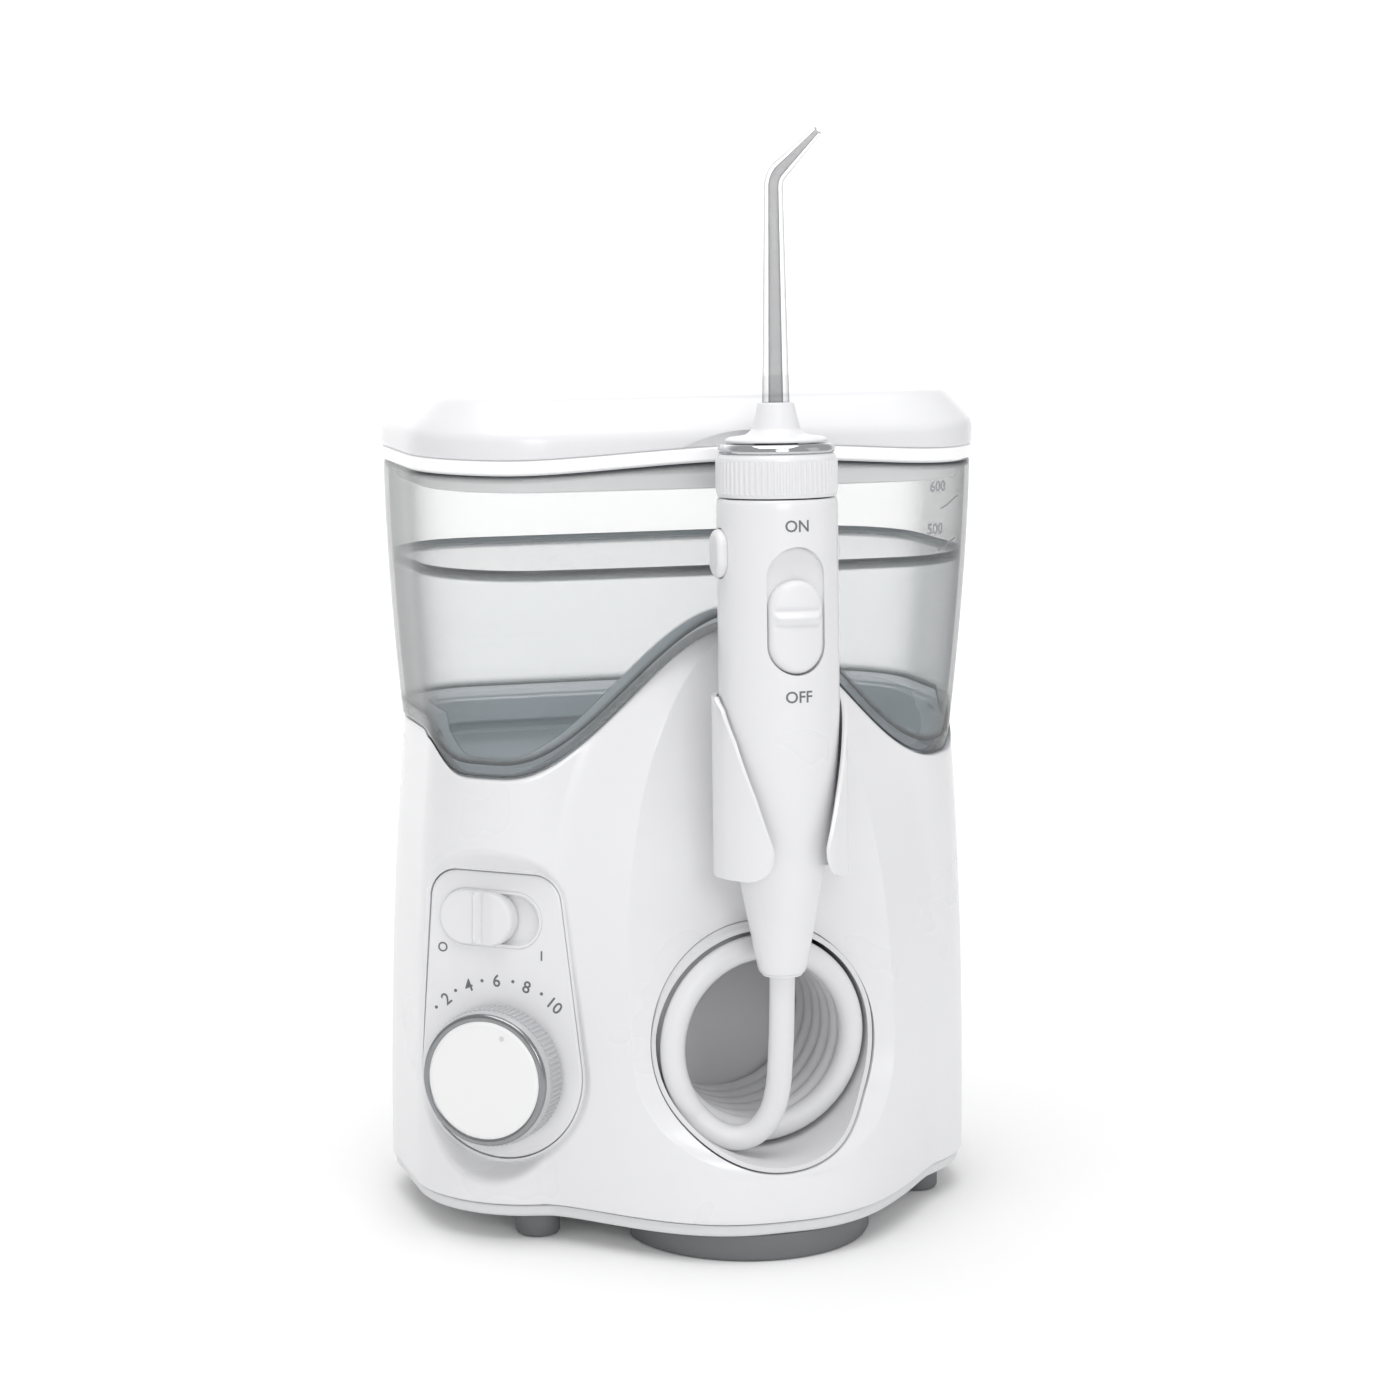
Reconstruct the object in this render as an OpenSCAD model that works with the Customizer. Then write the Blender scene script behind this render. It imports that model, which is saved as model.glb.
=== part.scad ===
// Counter-top water flosser: a housing with a pump, a lift-off reservoir with
// a hinged tip-storage lid, and a handle on a coiled hose.
// Millimetres. +Z is up, the front faces -Y, and Z = 0 is the table.

/* [Body] */
// Width of the housing across its two lobes
body_w = 132; // [130:1:134]
// Depth of the housing without its front bulge
body_d = 71; // [70:1:73]
// Corner radius of the housing, seen from above
corner_r = 25; // [24:1:27]
// How far the front bulge stands out at the foot of the housing
bulge_out = 27.5; // [26:0.5:29]
// Thickness of the moulded walls
wall = 2.6; // [2.4:0.1:2.8]

/* [Reservoir and lid] */
// Height of the reservoir's top rim above the table
rim_z = 172; // [171:1:174]
// Thickness of the lid, from the reservoir's rim to its top
lid_h = 17; // [16:0.5:18]

/* [Handle] */
// Radius of the straight part of the grip
grip_r = 13.1; // [12.9:0.1:13.3]
// Backward lean of the handle in its cradle, in degrees
lean = 2.6; // [2.2:0.2:3]
// Length of the jet tip above its hub
tip_l = 55; // [50:1:60]

/* [Hose] */
// Outside diameter of the hose
hose_d = 5.6; // [5.2:0.1:5.8]
// Radius of the coil at the middle of the hose
coil_r = 21.3; // [20.5:0.1:21.5]
// Number of turns stored in the cavity
hose_turns = 7; // [5:1:7]

/* [Hidden] */
$fn = 64;

// Plan of the body
front_y = -19;
back_y = front_y + body_d;
centre_x = 4.5;
bow = 2.5;
plan_front_steps = 5;
plan_niche_steps = 12;
plan_corner_steps = 8;

// Heights of the body
foot_h = 6;
seam_z = 9;
deck_z = 100;
deck_h = 2.6;
valley_z = 104.6;
hill_h = 33;
side_z = 113;
bulge_h = 129;
hill_z = seam_z + bulge_h;
join_y = front_y + 28;
part_gap = 0.4;

// Niche in the front bulge and the cavity that stores the hose
niche_half = 31;
niche_mid_z = 50;
niche_low_z = 19;
niche_top_z = 136;
cavity_r = 26.4;
cavity_z = 46;
cavity_front_y = front_y - 12.6;
cavity_back_y = front_y + 25;
liner_t = 1.2;

// Control panel on the left lobe
panel_turn = 39;
panel_tilt = 2.5;
panel_at = [-50.4, front_y + 7.4, 38];
panel_t = 2;
inward = [sin(panel_turn) * cos(panel_tilt), cos(panel_turn) * cos(panel_tilt), -sin(panel_tilt)];
dial_r = 15.6;
dial_h = 9.6;
slot_at = [-2.8, 34.6];
slot_w = 24.8;
slot_h = 13;
slider_w = 18.2;
spindle_r = 3;

// Handle in its own frame: z runs from the nose to the tip
nose_at = [centre_x, front_y - 25.6, 64.4];
nose_r = 5.1;
taper_l = 62;
grip_l = 103.6;
collar_l = 9.4;
recess_mid = 80;
recess_l = 27.4;
recess_w = 13;
recess_floor = 10.4;
slide_l = 20;
button_mid = 92;
button_l = 10.4;
button_w = 7;
wing_r = 14.7;
wing_t = 1.1;
wing_low = 22;
wing_high = 61;

// Lid
seam_rise = 2.3;
tray_h = 3.2;
lid_over = 0.4;
hinge_z = rim_z + tray_h + 0.4;
hinge_y = back_y + 0.8;
hinge_r = 2.2;
pin_r = 0.8;
hinge_x = 38;

// Drive inside the housing
drive_y = front_y + 47;
motor_z = 30;
motor_r = 13;
gear_teeth = 40;
pinion_teeth = 10;
gear_module = 0.8;
shaft_gap = gear_module * (gear_teeth + pinion_teeth) / 2 + 0.1;
crank_z = motor_z + shaft_gap;
crank_throw = 6;
pump_z = 74;
pump_top_z = 94;
plunger_z = pump_z + 8.2;
seal_h = 2.2;
pump_x = 1.5;
bore_r = 5.5;
inlet_x = 30;
screw_places = [[-48, front_y + 17], [48, front_y + 17], [-48, back_y - 12], [48, back_y - 12]];

// ---------- curves ----------

function clamp01(t) = max(0, min(1, t));
function smooth(t) = let (c = clamp01(t)) c * c * (3 - 2 * c);
function mound(u) = abs(u) >= 1 ? 0 : pow(1 - pow(abs(u), 2.6), 1.6);
function swell(u) = abs(u) >= 1 ? 0 : (1 + cos(180 * u)) / 2;

// Inward taper of the housing and of the reservoir at a height
function base_taper(z) = 3.7 * pow(max(0, z - seam_z) / 100, 2.2);
function tank_taper(z) = 4.2 * pow(max(0, rim_z - z) / 64, 1.6);

// Front bulge: how far it stands out, and its half width
function bulge_rise(z) = clamp01((z - seam_z) / bulge_h);
function bulge_depth(z) = 0.5 + (bulge_out - 0.5) * (1 - pow(bulge_rise(z), 1.5));
function bulge_half(z) = 14 + 34 * pow(1 - pow(bulge_rise(z), 4), 0.7);

// Niche: half width and how fully it is sunk
function niche_width(z) = z >= niche_mid_z
  ? niche_half * pow(max(0, 1 - pow((z - niche_mid_z) / (niche_top_z - niche_mid_z), 2.5)), 0.6)
  : niche_half * pow(max(0, 1 - pow((niche_mid_z - z) / (niche_mid_z - niche_low_z), 3)), 0.5);
function niche_sunk(z) = smooth((z - niche_low_z) / 15);

// Height of the wavy edge where the reservoir meets the housing
wave_left = 54.5;
wave_right = 48.5;
side_from = 56;
side_x = 62.3;
function edge_z(x) =
  valley_z + hill_h * swell((x - centre_x) / (x < centre_x ? wave_left : wave_right))
  + (side_z - valley_z) * pow(min(1, max(0, (abs(x) - side_from) / (side_x - side_from))), 3);
function lid_rise(x) = seam_rise * swell((x - centre_x) / 58);

// ---------- rings and lofts ----------

// X places along the front: flank, niche, flank
function front_places(left, right, half) = concat(
  [for (i = [0:plan_front_steps - 1]) left + (centre_x - half - left) * i / plan_front_steps],
  [for (i = [0:plan_niche_steps - 1]) centre_x - half + 2 * half * i / plan_niche_steps],
  [for (i = [0:plan_front_steps - 1]) centre_x + half + (right - centre_x - half) * i / plan_front_steps]);

function corner_points(x, y, r, from) =
  [for (i = [0:plan_corner_steps]) let (a = from + 90 * i / plan_corner_steps)
    [x + r * cos(a), y + r * sin(a)]];

function rounded_plan(hx, fy, by, r, half) = concat(
  [for (x = front_places(r - hx, hx - r, half)) [x, fy]],
  corner_points(hx - r, fy + r, r, -90), corner_points(hx - r, by - r, r, 0),
  corner_points(r - hx, by - r, r, 90),
  [for (i = [0:plan_corner_steps - 1]) let (a = 180 + 90 * i / plan_corner_steps)
    [r - hx + r * cos(a), fy + r + r * sin(a)]]);

// How far a front point moves towards the front
function front_shift(x, hx, out, half, niche, sunk) =
  let (u = (x - centre_x) / half, q = (x - centre_x) / niche, inside = abs(q) <= 1 ? sunk : 0,
       m = mound(u), edge = mound(niche / half))
  bow * (1 - pow(x / hx, 2)) + out * (m + inside * (edge - m))
    - inside * 3 * (1 - q * q) * niche / niche_half;

function plan(inset, taper, out = 0, half = 48, niche = 20, sunk = 0) =
  let (d = inset + taper, hx = body_w / 2 - d, fy = front_y + d, by = back_y - d,
       r = corner_r - d, mid = (fy + by) / 2)
  [for (p = rounded_plan(hx, fy, by, r, niche))
    p[1] > mid ? p : [p[0], p[1] - front_shift(p[0], hx, out, half, niche, sunk)]];

function at_height(points, z) = [for (p = points) [p[0], p[1], z]];

function base_ring(z, inset) = at_height(
  plan(inset, base_taper(z), bulge_depth(z), bulge_half(z) - inset, max(0.6, niche_width(z)),
      niche_sunk(z)), z);
function tank_ring(z, inset) = at_height(plan(inset, tank_taper(z)), z);

module loft(rings) {
  n = len(rings[0]);
  last = len(rings) - 1;
  polyhedron(
    points = [for (r = rings) for (p = r) p],
    faces = concat(
      [[for (i = [0:n - 1]) i]],
      [for (k = [0:last - 1]) for (i = [0:n - 1]) [k * n + i, (k + 1) * n + i, k * n + (i + 1) % n]],
      [for (k = [0:last - 1]) for (i = [0:n - 1])
        [k * n + (i + 1) % n, (k + 1) * n + i, (k + 1) * n + (i + 1) % n]],
      [[for (i = [n - 1:-1:0]) last * n + i]]),
    convexity = 10);
}

module base_loft(levels, inset) loft([for (z = levels) base_ring(z, inset)]);
module tank_loft(levels, inset) loft([for (z = levels) tank_ring(z, inset)]);

// Everything below a wavy edge raised by a gap: the wave runs over the front only
module below_edge(gap) {
  steps = 48;
  reach = 80;
  translate([0, join_y, 0]) rotate([90, 0, 0]) linear_extrude(110)
    polygon(concat([[-reach, 0], [reach, 0]],
      [for (i = [0:steps]) let (x = reach - 2 * reach * i / steps) [x, edge_z(x) + gap]]));
  translate([-reach, join_y, 0]) cube([2 * reach, 100, side_z + gap]);
}

// A slab between two heights whose faces follow the lid's gentle wave at the front
module lid_slab(low, high) {
  steps = 24;
  reach = 80;
  xs = [for (i = [0:steps]) -reach + 2 * reach * i / steps];
  translate([0, join_y, 0]) rotate([90, 0, 0]) linear_extrude(110)
    polygon(concat([for (x = xs) [x, low + lid_rise(x)]],
      [for (i = [steps:-1:0]) [xs[i], high + lid_rise(xs[i])]]));
  translate([-reach, join_y, low]) cube([2 * reach, 100, high - low]);
}

// ---------- shared placing ----------

module on_panel() translate(panel_at) rotate([90 - panel_tilt, 0, -panel_turn]) children();
module on_handle() translate(nose_at) rotate([-lean, 0, 0]) children();

module obround(w, h) {
  r = min(w, h) / 2;
  if (w > h) {
    for (s = [-1, 1]) translate([s * (w / 2 - r), 0]) circle(r);
    square([w - h, h], center = true);
  } else {
    for (s = [-1, 1]) translate([0, s * (h / 2 - r)]) circle(r);
    square([w, h - w], center = true);
  }
}

module panel_outline(grow) hull() {
  circle(19.6 + grow, $fn = 32);
  translate([-11.2, 38.6]) circle(6.4 + grow, $fn = 32);
  translate([7.6, 38.6]) circle(6.4 + grow, $fn = 32);
}

// A flexible tube swept along a route; its section's frame is set by a side direction
function route_dir(p, i) = let (d = p[min(i + 1, len(p) - 1)] - p[max(i - 1, 0)]) d / norm(d);
module swept_tube(route, r, side, sides = 12) {
  n = len(route);
  last = (n - 1) * sides;
  polyhedron(
    points = [for (i = [0:n - 1])
      let (t = route_dir(route, i), u = cross(t, side) / norm(cross(t, side)), v = cross(t, u))
      for (k = [0:sides - 1]) let (a = 360 * k / sides) route[i] + r * (cos(a) * u + sin(a) * v)],
    faces = concat(
      [[for (k = [0:sides - 1]) k]],
      [for (i = [0:n - 2]) for (k = [0:sides - 1])
        [i * sides + k, (i + 1) * sides + k, i * sides + (k + 1) % sides]],
      [for (i = [0:n - 2]) for (k = [0:sides - 1])
        [i * sides + (k + 1) % sides, (i + 1) * sides + k, (i + 1) * sides + (k + 1) % sides]],
      [[for (k = [sides - 1:-1:0]) last + k]]));
}

// A route whose inner corners are eased by a length
function eased(route, d) = concat([route[0]],
  [for (i = [1:len(route) - 2]) let (p = route[i],
      a = (route[i - 1] - p) / norm(route[i - 1] - p), b = (route[i + 1] - p) / norm(route[i + 1] - p))
    each [p + d * a, p + 0.4 * d * a + 0.08 * d * b, p + 0.08 * d * a + 0.4 * d * b, p + d * b]],
  [route[len(route) - 1]]);

function grip_profile(z) = nose_r + (grip_r - nose_r) * sin(90 * min(z, taper_l) / taper_l);
grip_levels = [0, 6, 12, 18, 24, 30, 37, 45, 53, taper_l];

// ---------- housing ----------

housing_levels = [seam_z, 14, 19.2, 20.5, 22.5, 25, 28, 31, 34, 42, 52, 64, 78, 92, 104, 114, 122, 129,
    134, 137, 140];
module base_housing() color("white") difference() {
  union() {
    difference() {
      intersection() {
        below_edge(0);
        base_loft(housing_levels, 0);
      }
      base_loft([seam_z - 1, 19.2, 22.5, 28, 34, 52, 78, 92, deck_z], wall);
      translate([0, 0, deck_z + deck_h]) linear_extrude(60) polygon(plan(6.4, 0, -bow, 200, 20, 0));
    }
    intersection() {
      on_panel() translate([0, 0, -panel_t - 2.2]) linear_extrude(2.2) panel_outline(1.6);
      base_loft([seam_z, 34, 64, 92, 104], 0.8);
    }
    for (p = screw_places) {
      translate([p[0], p[1], seam_z]) cylinder(r = 4, h = 10);
      translate([p[0] + (p[0] > 0 ? 2 : -16.6), p[1] - 1, seam_z + 3]) cube([14.6, 2, 7]);
    }
  }
  on_panel() {
    translate([0, 0, -panel_t]) linear_extrude(14) panel_outline(0.15);
    translate([0, 0, -20]) cylinder(r = spindle_r + 1, h = 30);
    translate([slot_at[0], slot_at[1], -10]) linear_extrude(20) square([14, 6], center = true);
  }
  translate([centre_x, cavity_back_y + 3, cavity_z]) rotate([90, 0, 0]) cylinder(r = cavity_r, h = 90);
  translate([inlet_x, drive_y, deck_z - 5]) cylinder(r = 7, h = 12);
  translate([40, back_y - 20, 20]) rotate([-90, 0, 0]) cylinder(r = 5, h = 30);
  for (p = screw_places) translate([p[0], p[1], seam_z - 1]) cylinder(r = 1.3, h = 10);
}

module bottom_cover() color("whitesmoke") difference() {
  union() {
    translate([0, 0, foot_h]) linear_extrude(seam_z - foot_h - 0.4)
      polygon(plan(0.9, 0, bulge_out, 47.1, niche_half, 0));
    translate([0, 0, seam_z - 0.4]) linear_extrude(2.4) difference() {
      polygon(plan(wall + 0.4, 0.1, bulge_out, 44.9, niche_half, 0));
      polygon(plan(wall + 2.4, 0.1, bulge_out, 42.9, niche_half, 0));
    }
  }
  for (p = screw_places) translate([p[0], p[1], foot_h - 1]) cylinder(r = 1.8, h = 8);
  for (p = screw_places) translate([p[0], p[1], foot_h - 1]) cylinder(r = 3.2, h = 2.4);
  for (i = [0:5]) translate([-22 + 5 * i, back_y - 18, foot_h - 1]) linear_extrude(8)
      square([2.2, 16], center = true);
}

module front_foot() color("gray") linear_extrude(foot_h) difference() {
  translate([centre_x, front_y - 1]) circle(28);
  translate([centre_x - 40, front_y - 3]) square([80, 40]);
}

module corner_feet() color("gray")
  for (p = [[-42, front_y + 8], [52, front_y + 14], [-50, back_y - 22], [50, back_y - 22]])
    translate([p[0], p[1], 0]) cylinder(r = 5, h = foot_h);

// Two wings that stand round the grip, and the web that holds them on the niche
module handle_cradle() color("white") difference() {
  union() {
    on_handle() translate([0, 0, wing_low]) cylinder(r = wing_r, h = wing_high - wing_low);
    on_handle() translate([-6, 0, wing_low + 2]) cube([12, 34, 32]);
  }
  on_handle() cylinder(r = wing_r - wing_t, h = 140);
  on_handle() rotate([90, 0, 0]) linear_extrude(40)
    polygon([[-5.4, 10], [5.4, 10], [6.6, 29], [wing_r + 0.2, wing_high - 1], [wing_r + 1, wing_high + 9],
      [-wing_r - 1, wing_high + 9], [-wing_r - 0.2, wing_high - 1], [-6.6, 29]]);
  base_loft([60, 78, 92, 104, 114, 122, 130], -0.05);
  translate([-20, front_y + 8, 0]) cube([60, 60, 140]);
}

module control_panel() color("white") on_panel() difference() {
  translate([0, 0, -panel_t]) linear_extrude(panel_t) panel_outline(0);
  translate([0, 0, -panel_t - 1]) cylinder(r = spindle_r + 1, h = 8);
  translate([slot_at[0], slot_at[1], -panel_t - 1]) linear_extrude(8) obround(slot_w, slot_h);
}

module cavity_liner() color("darkgray") translate([centre_x, cavity_back_y, cavity_z]) rotate([90, 0, 0])
  difference() {
    rotate_extrude() polygon([
      [0, -1.6], [cavity_r - 0.2, -1.6], [cavity_r - 0.2, cavity_back_y - cavity_front_y],
      [cavity_r - 0.2 - liner_t, cavity_back_y - cavity_front_y], [cavity_r - 0.2 - liner_t, 0], [0, 0]]);
    translate([coil_r, 0, -3]) cylinder(r = 2.2, h = 6);
  }

module hose_fitting() color("gainsboro") translate([centre_x + coil_r, cavity_back_y, cavity_z])
    rotate([-90, 0, 0])
  rotate_extrude() polygon([[0.9, 0], [2.15, 0], [2.15, 1.7], [4.5, 1.7], [4.5, 4], [2.4, 4], [2.4, 9],
    [0.9, 9]]);

module hose_coil() color("white") translate([centre_x, cavity_back_y, cavity_z]) rotate([90, 0, 0])
  rotate_extrude() translate([coil_r - hose_d / 2, 0]) square([hose_d, hose_turns * (hose_d + 0.05)]);

// Route of the hose from the handle's nose to the front of the coil
lead_route = [
  [centre_x, nose_at[1], 63.7], [centre_x, nose_at[1] + 0.1, 58], [centre_x, nose_at[1] + 0.4, 51],
  [centre_x, nose_at[1] + 1.2, 44], [centre_x - 0.1, nose_at[1] + 2.4, 37.5],
  [centre_x - 1.2, nose_at[1] + 4, 31.5],
  [centre_x - 4.2, nose_at[1] + 5.8, 27], [centre_x - 8.6, nose_at[1] + 7.6, 25.6],
  [centre_x - 13, nose_at[1] + 9.3, 27.4], [centre_x - 16.6, nose_at[1] + 11, 31]
];
module hose_lead() color("white") swept_tube(concat([lead_route[0] + [0, 0, 0.3]], lead_route),
    hose_d / 2, [0, 1, 0]);

// ---------- pump and electrics ----------

module motor() color("silver") translate([0, drive_y, motor_z]) rotate([0, 90, 0]) {
  translate([0, 0, -52]) cylinder(r = motor_r, h = 38);
  translate([0, 0, -54]) cylinder(r = 4, h = 2);
  translate([0, 0, -14]) cylinder(r = 3, h = 1.8);
}

module motor_bracket() color("lightgray") difference() {
  union() {
    translate([-14, drive_y - 15, seam_z - 0.4]) cube([2.2, 30, pump_z]);
    translate([-34, drive_y - 15, seam_z - 0.4]) cube([20, 30, 2.2]);
  }
  translate([-20, drive_y, motor_z]) rotate([0, 90, 0]) cylinder(r = 3.2, h = 20);
  translate([-20, drive_y, crank_z]) rotate([0, 90, 0]) cylinder(r = 2.55, h = 20);
}

module gear(teeth, h, phase) {
  pitch_r = gear_module * teeth / 2;
  linear_extrude(h) {
    circle(pitch_r - 0.9);
    for (i = [0:teeth - 1]) rotate(360 * (i + phase) / teeth)
      polygon([[pitch_r - 1.2, -0.62], [pitch_r + 0.6, -0.3], [pitch_r + 0.6, 0.3], [pitch_r - 1.2, 0.62]]);
  }
}

module motor_pinion() color("goldenrod") translate([-10, drive_y, motor_z]) rotate([0, 90, 0]) {
  gear(pinion_teeth, 6, 0);
  translate([0, 0, -2]) cylinder(r = 1.6, h = 2);
}

module crank_gear() color("ivory") translate([-10, drive_y, crank_z]) rotate([0, 90, 0]) {
  gear(gear_teeth, 5, 0.5);
  translate([0, 0, -6]) cylinder(r = 2.5, h = 6);
  translate([0, crank_throw, 5]) cylinder(r = 1.5, h = 9);
}

// Yoke with a tall window round the crank pin, a rod, and the pump's plunger
module piston() color("lightgray") {
  difference() {
    translate([pump_x - 1.5, drive_y - 11, crank_z - 17]) cube([3, 22, 34]);
    translate([pump_x - 3, drive_y - 8.5, crank_z - 14]) cube([6, 17, 28]);
  }
  translate([pump_x, drive_y, crank_z + 17]) cylinder(r = 2.4, h = plunger_z - crank_z - 17);
  translate([pump_x, drive_y, plunger_z]) cylinder(r = bore_r - 1.1, h = 1.4);
  translate([pump_x, drive_y, plunger_z + 1.4]) cylinder(r = bore_r - 2, h = seal_h);
  translate([pump_x, drive_y, plunger_z + 1.4 + seal_h]) cylinder(r = bore_r - 1.1, h = 1.4);
}

module piston_seal() color("dimgray") translate([pump_x, drive_y, plunger_z + 1.45])
  rotate_extrude() translate([bore_r - 1.95, 0]) square([1.9, seal_h - 0.1]);

module pump_body() color("whitesmoke") difference() {
  union() {
    translate([pump_x, drive_y, pump_z]) cylinder(r = 9, h = pump_top_z - pump_z);
    translate([-11.7, drive_y - 4, pump_z]) cube([6, 8, 8]);
  }
  translate([pump_x, drive_y, pump_z + 1.6]) cylinder(r = bore_r, h = 30);
  translate([pump_x, drive_y, pump_z - 1]) cylinder(r = 3, h = 30);
}

module pump_head() color("gainsboro") difference() {
  union() {
    translate([pump_x, drive_y, pump_top_z]) cylinder(r = 9, h = 5);
    translate([pump_x, drive_y, pump_top_z + 2.5]) rotate([0, 90, 0]) cylinder(r = 2.2, h = 13);
    translate([pump_x, drive_y, pump_top_z + 2.5]) rotate([0, -90, 0]) cylinder(r = 2.2, h = 13);
  }
  translate([pump_x, drive_y, pump_top_z - 1]) cylinder(r = 3, h = 3.2);
  translate([pump_x - 20, drive_y, pump_top_z + 2.5]) rotate([0, 90, 0]) cylinder(r = 1, h = 40);
}

module inlet_seal() color("dimgray") translate([inlet_x, drive_y, deck_z])
  rotate_extrude() polygon([[4.4, -2], [6.9, -2], [6.9, 2.7], [8.4, 2.7], [8.4, 3], [4.4, 3]]);

module inlet_tube() color("lightgray") difference() {
  union() {
    translate([inlet_x, drive_y, deck_z - 8]) cylinder(r = 6, h = 6);
    swept_tube(eased([[inlet_x, drive_y, deck_z - 7], [inlet_x, drive_y, pump_top_z - 10],
      [20, drive_y, pump_top_z - 10], [20, drive_y, pump_top_z + 2.5],
      [pump_x + 13.1, drive_y, pump_top_z + 2.5]], 3.6), 2.6, [0, 1, 0]);
  }
  translate([inlet_x, drive_y, deck_z - 5]) cylinder(r = 4, h = 6);
}

module outlet_tube() color("lightgray") swept_tube(eased([
  [pump_x - 13.1, drive_y, pump_top_z + 2.5], [-25, drive_y, pump_top_z + 2.5], [-29, drive_y - 12, 82],
  [-29, drive_y - 14, 50], panel_at + 30 * inward, panel_at + 19.6 * inward], 4), 2.6, [0.7, -0.7, 0.1]);

module regulator_body() color("whitesmoke") on_panel() difference() {
  union() {
    translate([0, 0, -panel_t - 2.4 - 15]) cylinder(r = 9, h = 15);
    translate([0, 0, -panel_t - 2.4 - 2]) cylinder(r = 12, h = 2);
  }
  translate([0, 0, -panel_t - 2.4 - 11]) cylinder(r = spindle_r + 0.05, h = 12);
}

module switch_module() color("dimgray") on_panel() translate([slot_at[0], slot_at[1], -panel_t - 8.4])
    difference() {
  linear_extrude(6) square([22, 10], center = true);
  translate([0, 0, 2]) linear_extrude(6) square([14, 6], center = true);
}

module circuit_board() color("seagreen") {
  translate([24, back_y - 12, 24]) cube([29, 1.6, 52]);
  for (i = [0:2]) translate([28 + 9 * i, back_y - 18, 28 + 14 * i]) cube([7, 6, 9]);
}

module power_supply() color("gray") {
  translate([34, front_y + 26, seam_z - 0.4]) cube([24, 20, 26]);
  translate([37, front_y + 23, seam_z + 3]) cube([18, 3, 18]);
}

module cord_gland() color("dimgray") translate([40, back_y, 20]) rotate([-90, 0, 0])
  rotate_extrude() polygon([[3.2, -8], [6.6, -8], [6.6, -4], [4.8, -4], [4.8, 0.2], [6.2, 0.2],
    [5.6, 1.6], [3.2, 1.6]]);

module housing_screws() color("silver") for (p = screw_places) translate([p[0], p[1], foot_h]) {
  difference() {
    cylinder(r = 2.9, h = 1.4);
    for (a = [0, 90]) rotate(a) translate([-1.8, -0.4, -1]) cube([3.6, 0.8, 1.8]);
  }
  translate([0, 0, 1.4]) cylinder(r = 1.25, h = 9);
}

// ---------- reservoir and lid ----------

module reservoir() color([0.75, 0.8, 0.84, 0.5]) difference() {
  union() {
    intersection() {
      difference() {
        tank_loft([valley_z - 4, 120, 135, 150, 162, rim_z + 4], 0);
        below_edge(part_gap);
      }
      lid_slab(60, rim_z);
    }
    translate([0, 0, deck_z + deck_h + 0.6]) linear_extrude(44) polygon(plan(7, 0, -bow, 200, 20, 0));
    translate([inlet_x, drive_y, deck_z - 0.4]) cylinder(r = 4.1, h = 6);
  }
  difference() {
    tank_loft([valley_z - 4, 120, 135, 150, 162, rim_z + 6], wall);
    below_edge(part_gap + wall);
  }
  translate([0, 0, deck_z + deck_h + 3.2]) linear_extrude(60) polygon(plan(7 + wall, 0, -bow, 200, 20, 0));
  translate([inlet_x, drive_y, deck_z - 2]) cylinder(r = 2.6, h = 12);
}

module reservoir_valve() color("gainsboro") translate([inlet_x, drive_y, deck_z + deck_h + 3.2]) {
  cylinder(r = 6, h = 1.4);
  translate([0, 0, -5.6]) cylinder(r = 1.4, h = 5.6);
}

module hinge_knuckles(places, w, clearance) difference() {
  union() for (x = places) translate([x - w / 2, hinge_y, hinge_z]) rotate([0, 90, 0])
      cylinder(r = hinge_r, h = w);
  translate([-80, hinge_y, hinge_z]) rotate([0, 90, 0]) cylinder(r = pin_r + clearance, h = 160);
}

module lid_tray() color("white") difference() {
  union() {
    difference() {
      intersection() {
        tank_loft([rim_z - 6, rim_z + 12], -lid_over);
        lid_slab(rim_z + 0.4, rim_z + tray_h);
      }
      translate([0, 0, rim_z + seam_rise + 0.6]) linear_extrude(20) polygon(plan(5, 0));
    }
    translate([0, 0, rim_z + 0.4]) linear_extrude(2.5) polygon(plan(wall + 0.6, 0));
    translate([0, 0, rim_z - 4]) linear_extrude(4.6 + seam_rise) difference() {
      polygon(plan(wall + 0.6, 0));
      polygon(plan(wall + 2.2, 0));
    }
    hinge_knuckles([-hinge_x, hinge_x], 5, 0.04);
    for (x = [-hinge_x, hinge_x]) translate([x - 2.5, back_y - 3, rim_z + 0.6]) cube([5, 2.8, 2.5]);
  }
  for (x = [-hinge_x, hinge_x], s = [-1, 1])
    translate([x + s * 6.7 - 4, hinge_y - hinge_r - 0.4, hinge_z - hinge_r - 0.4]) cube([8, 10, 10]);
  translate([-80, hinge_y, hinge_z]) rotate([0, 90, 0]) cylinder(r = pin_r + 0.04, h = 160);
}

module hinge_pins() color("silver") for (x = [-hinge_x, hinge_x])
  translate([x - 8, hinge_y, hinge_z]) rotate([0, 90, 0]) cylinder(r = pin_r, h = 16);

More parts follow.
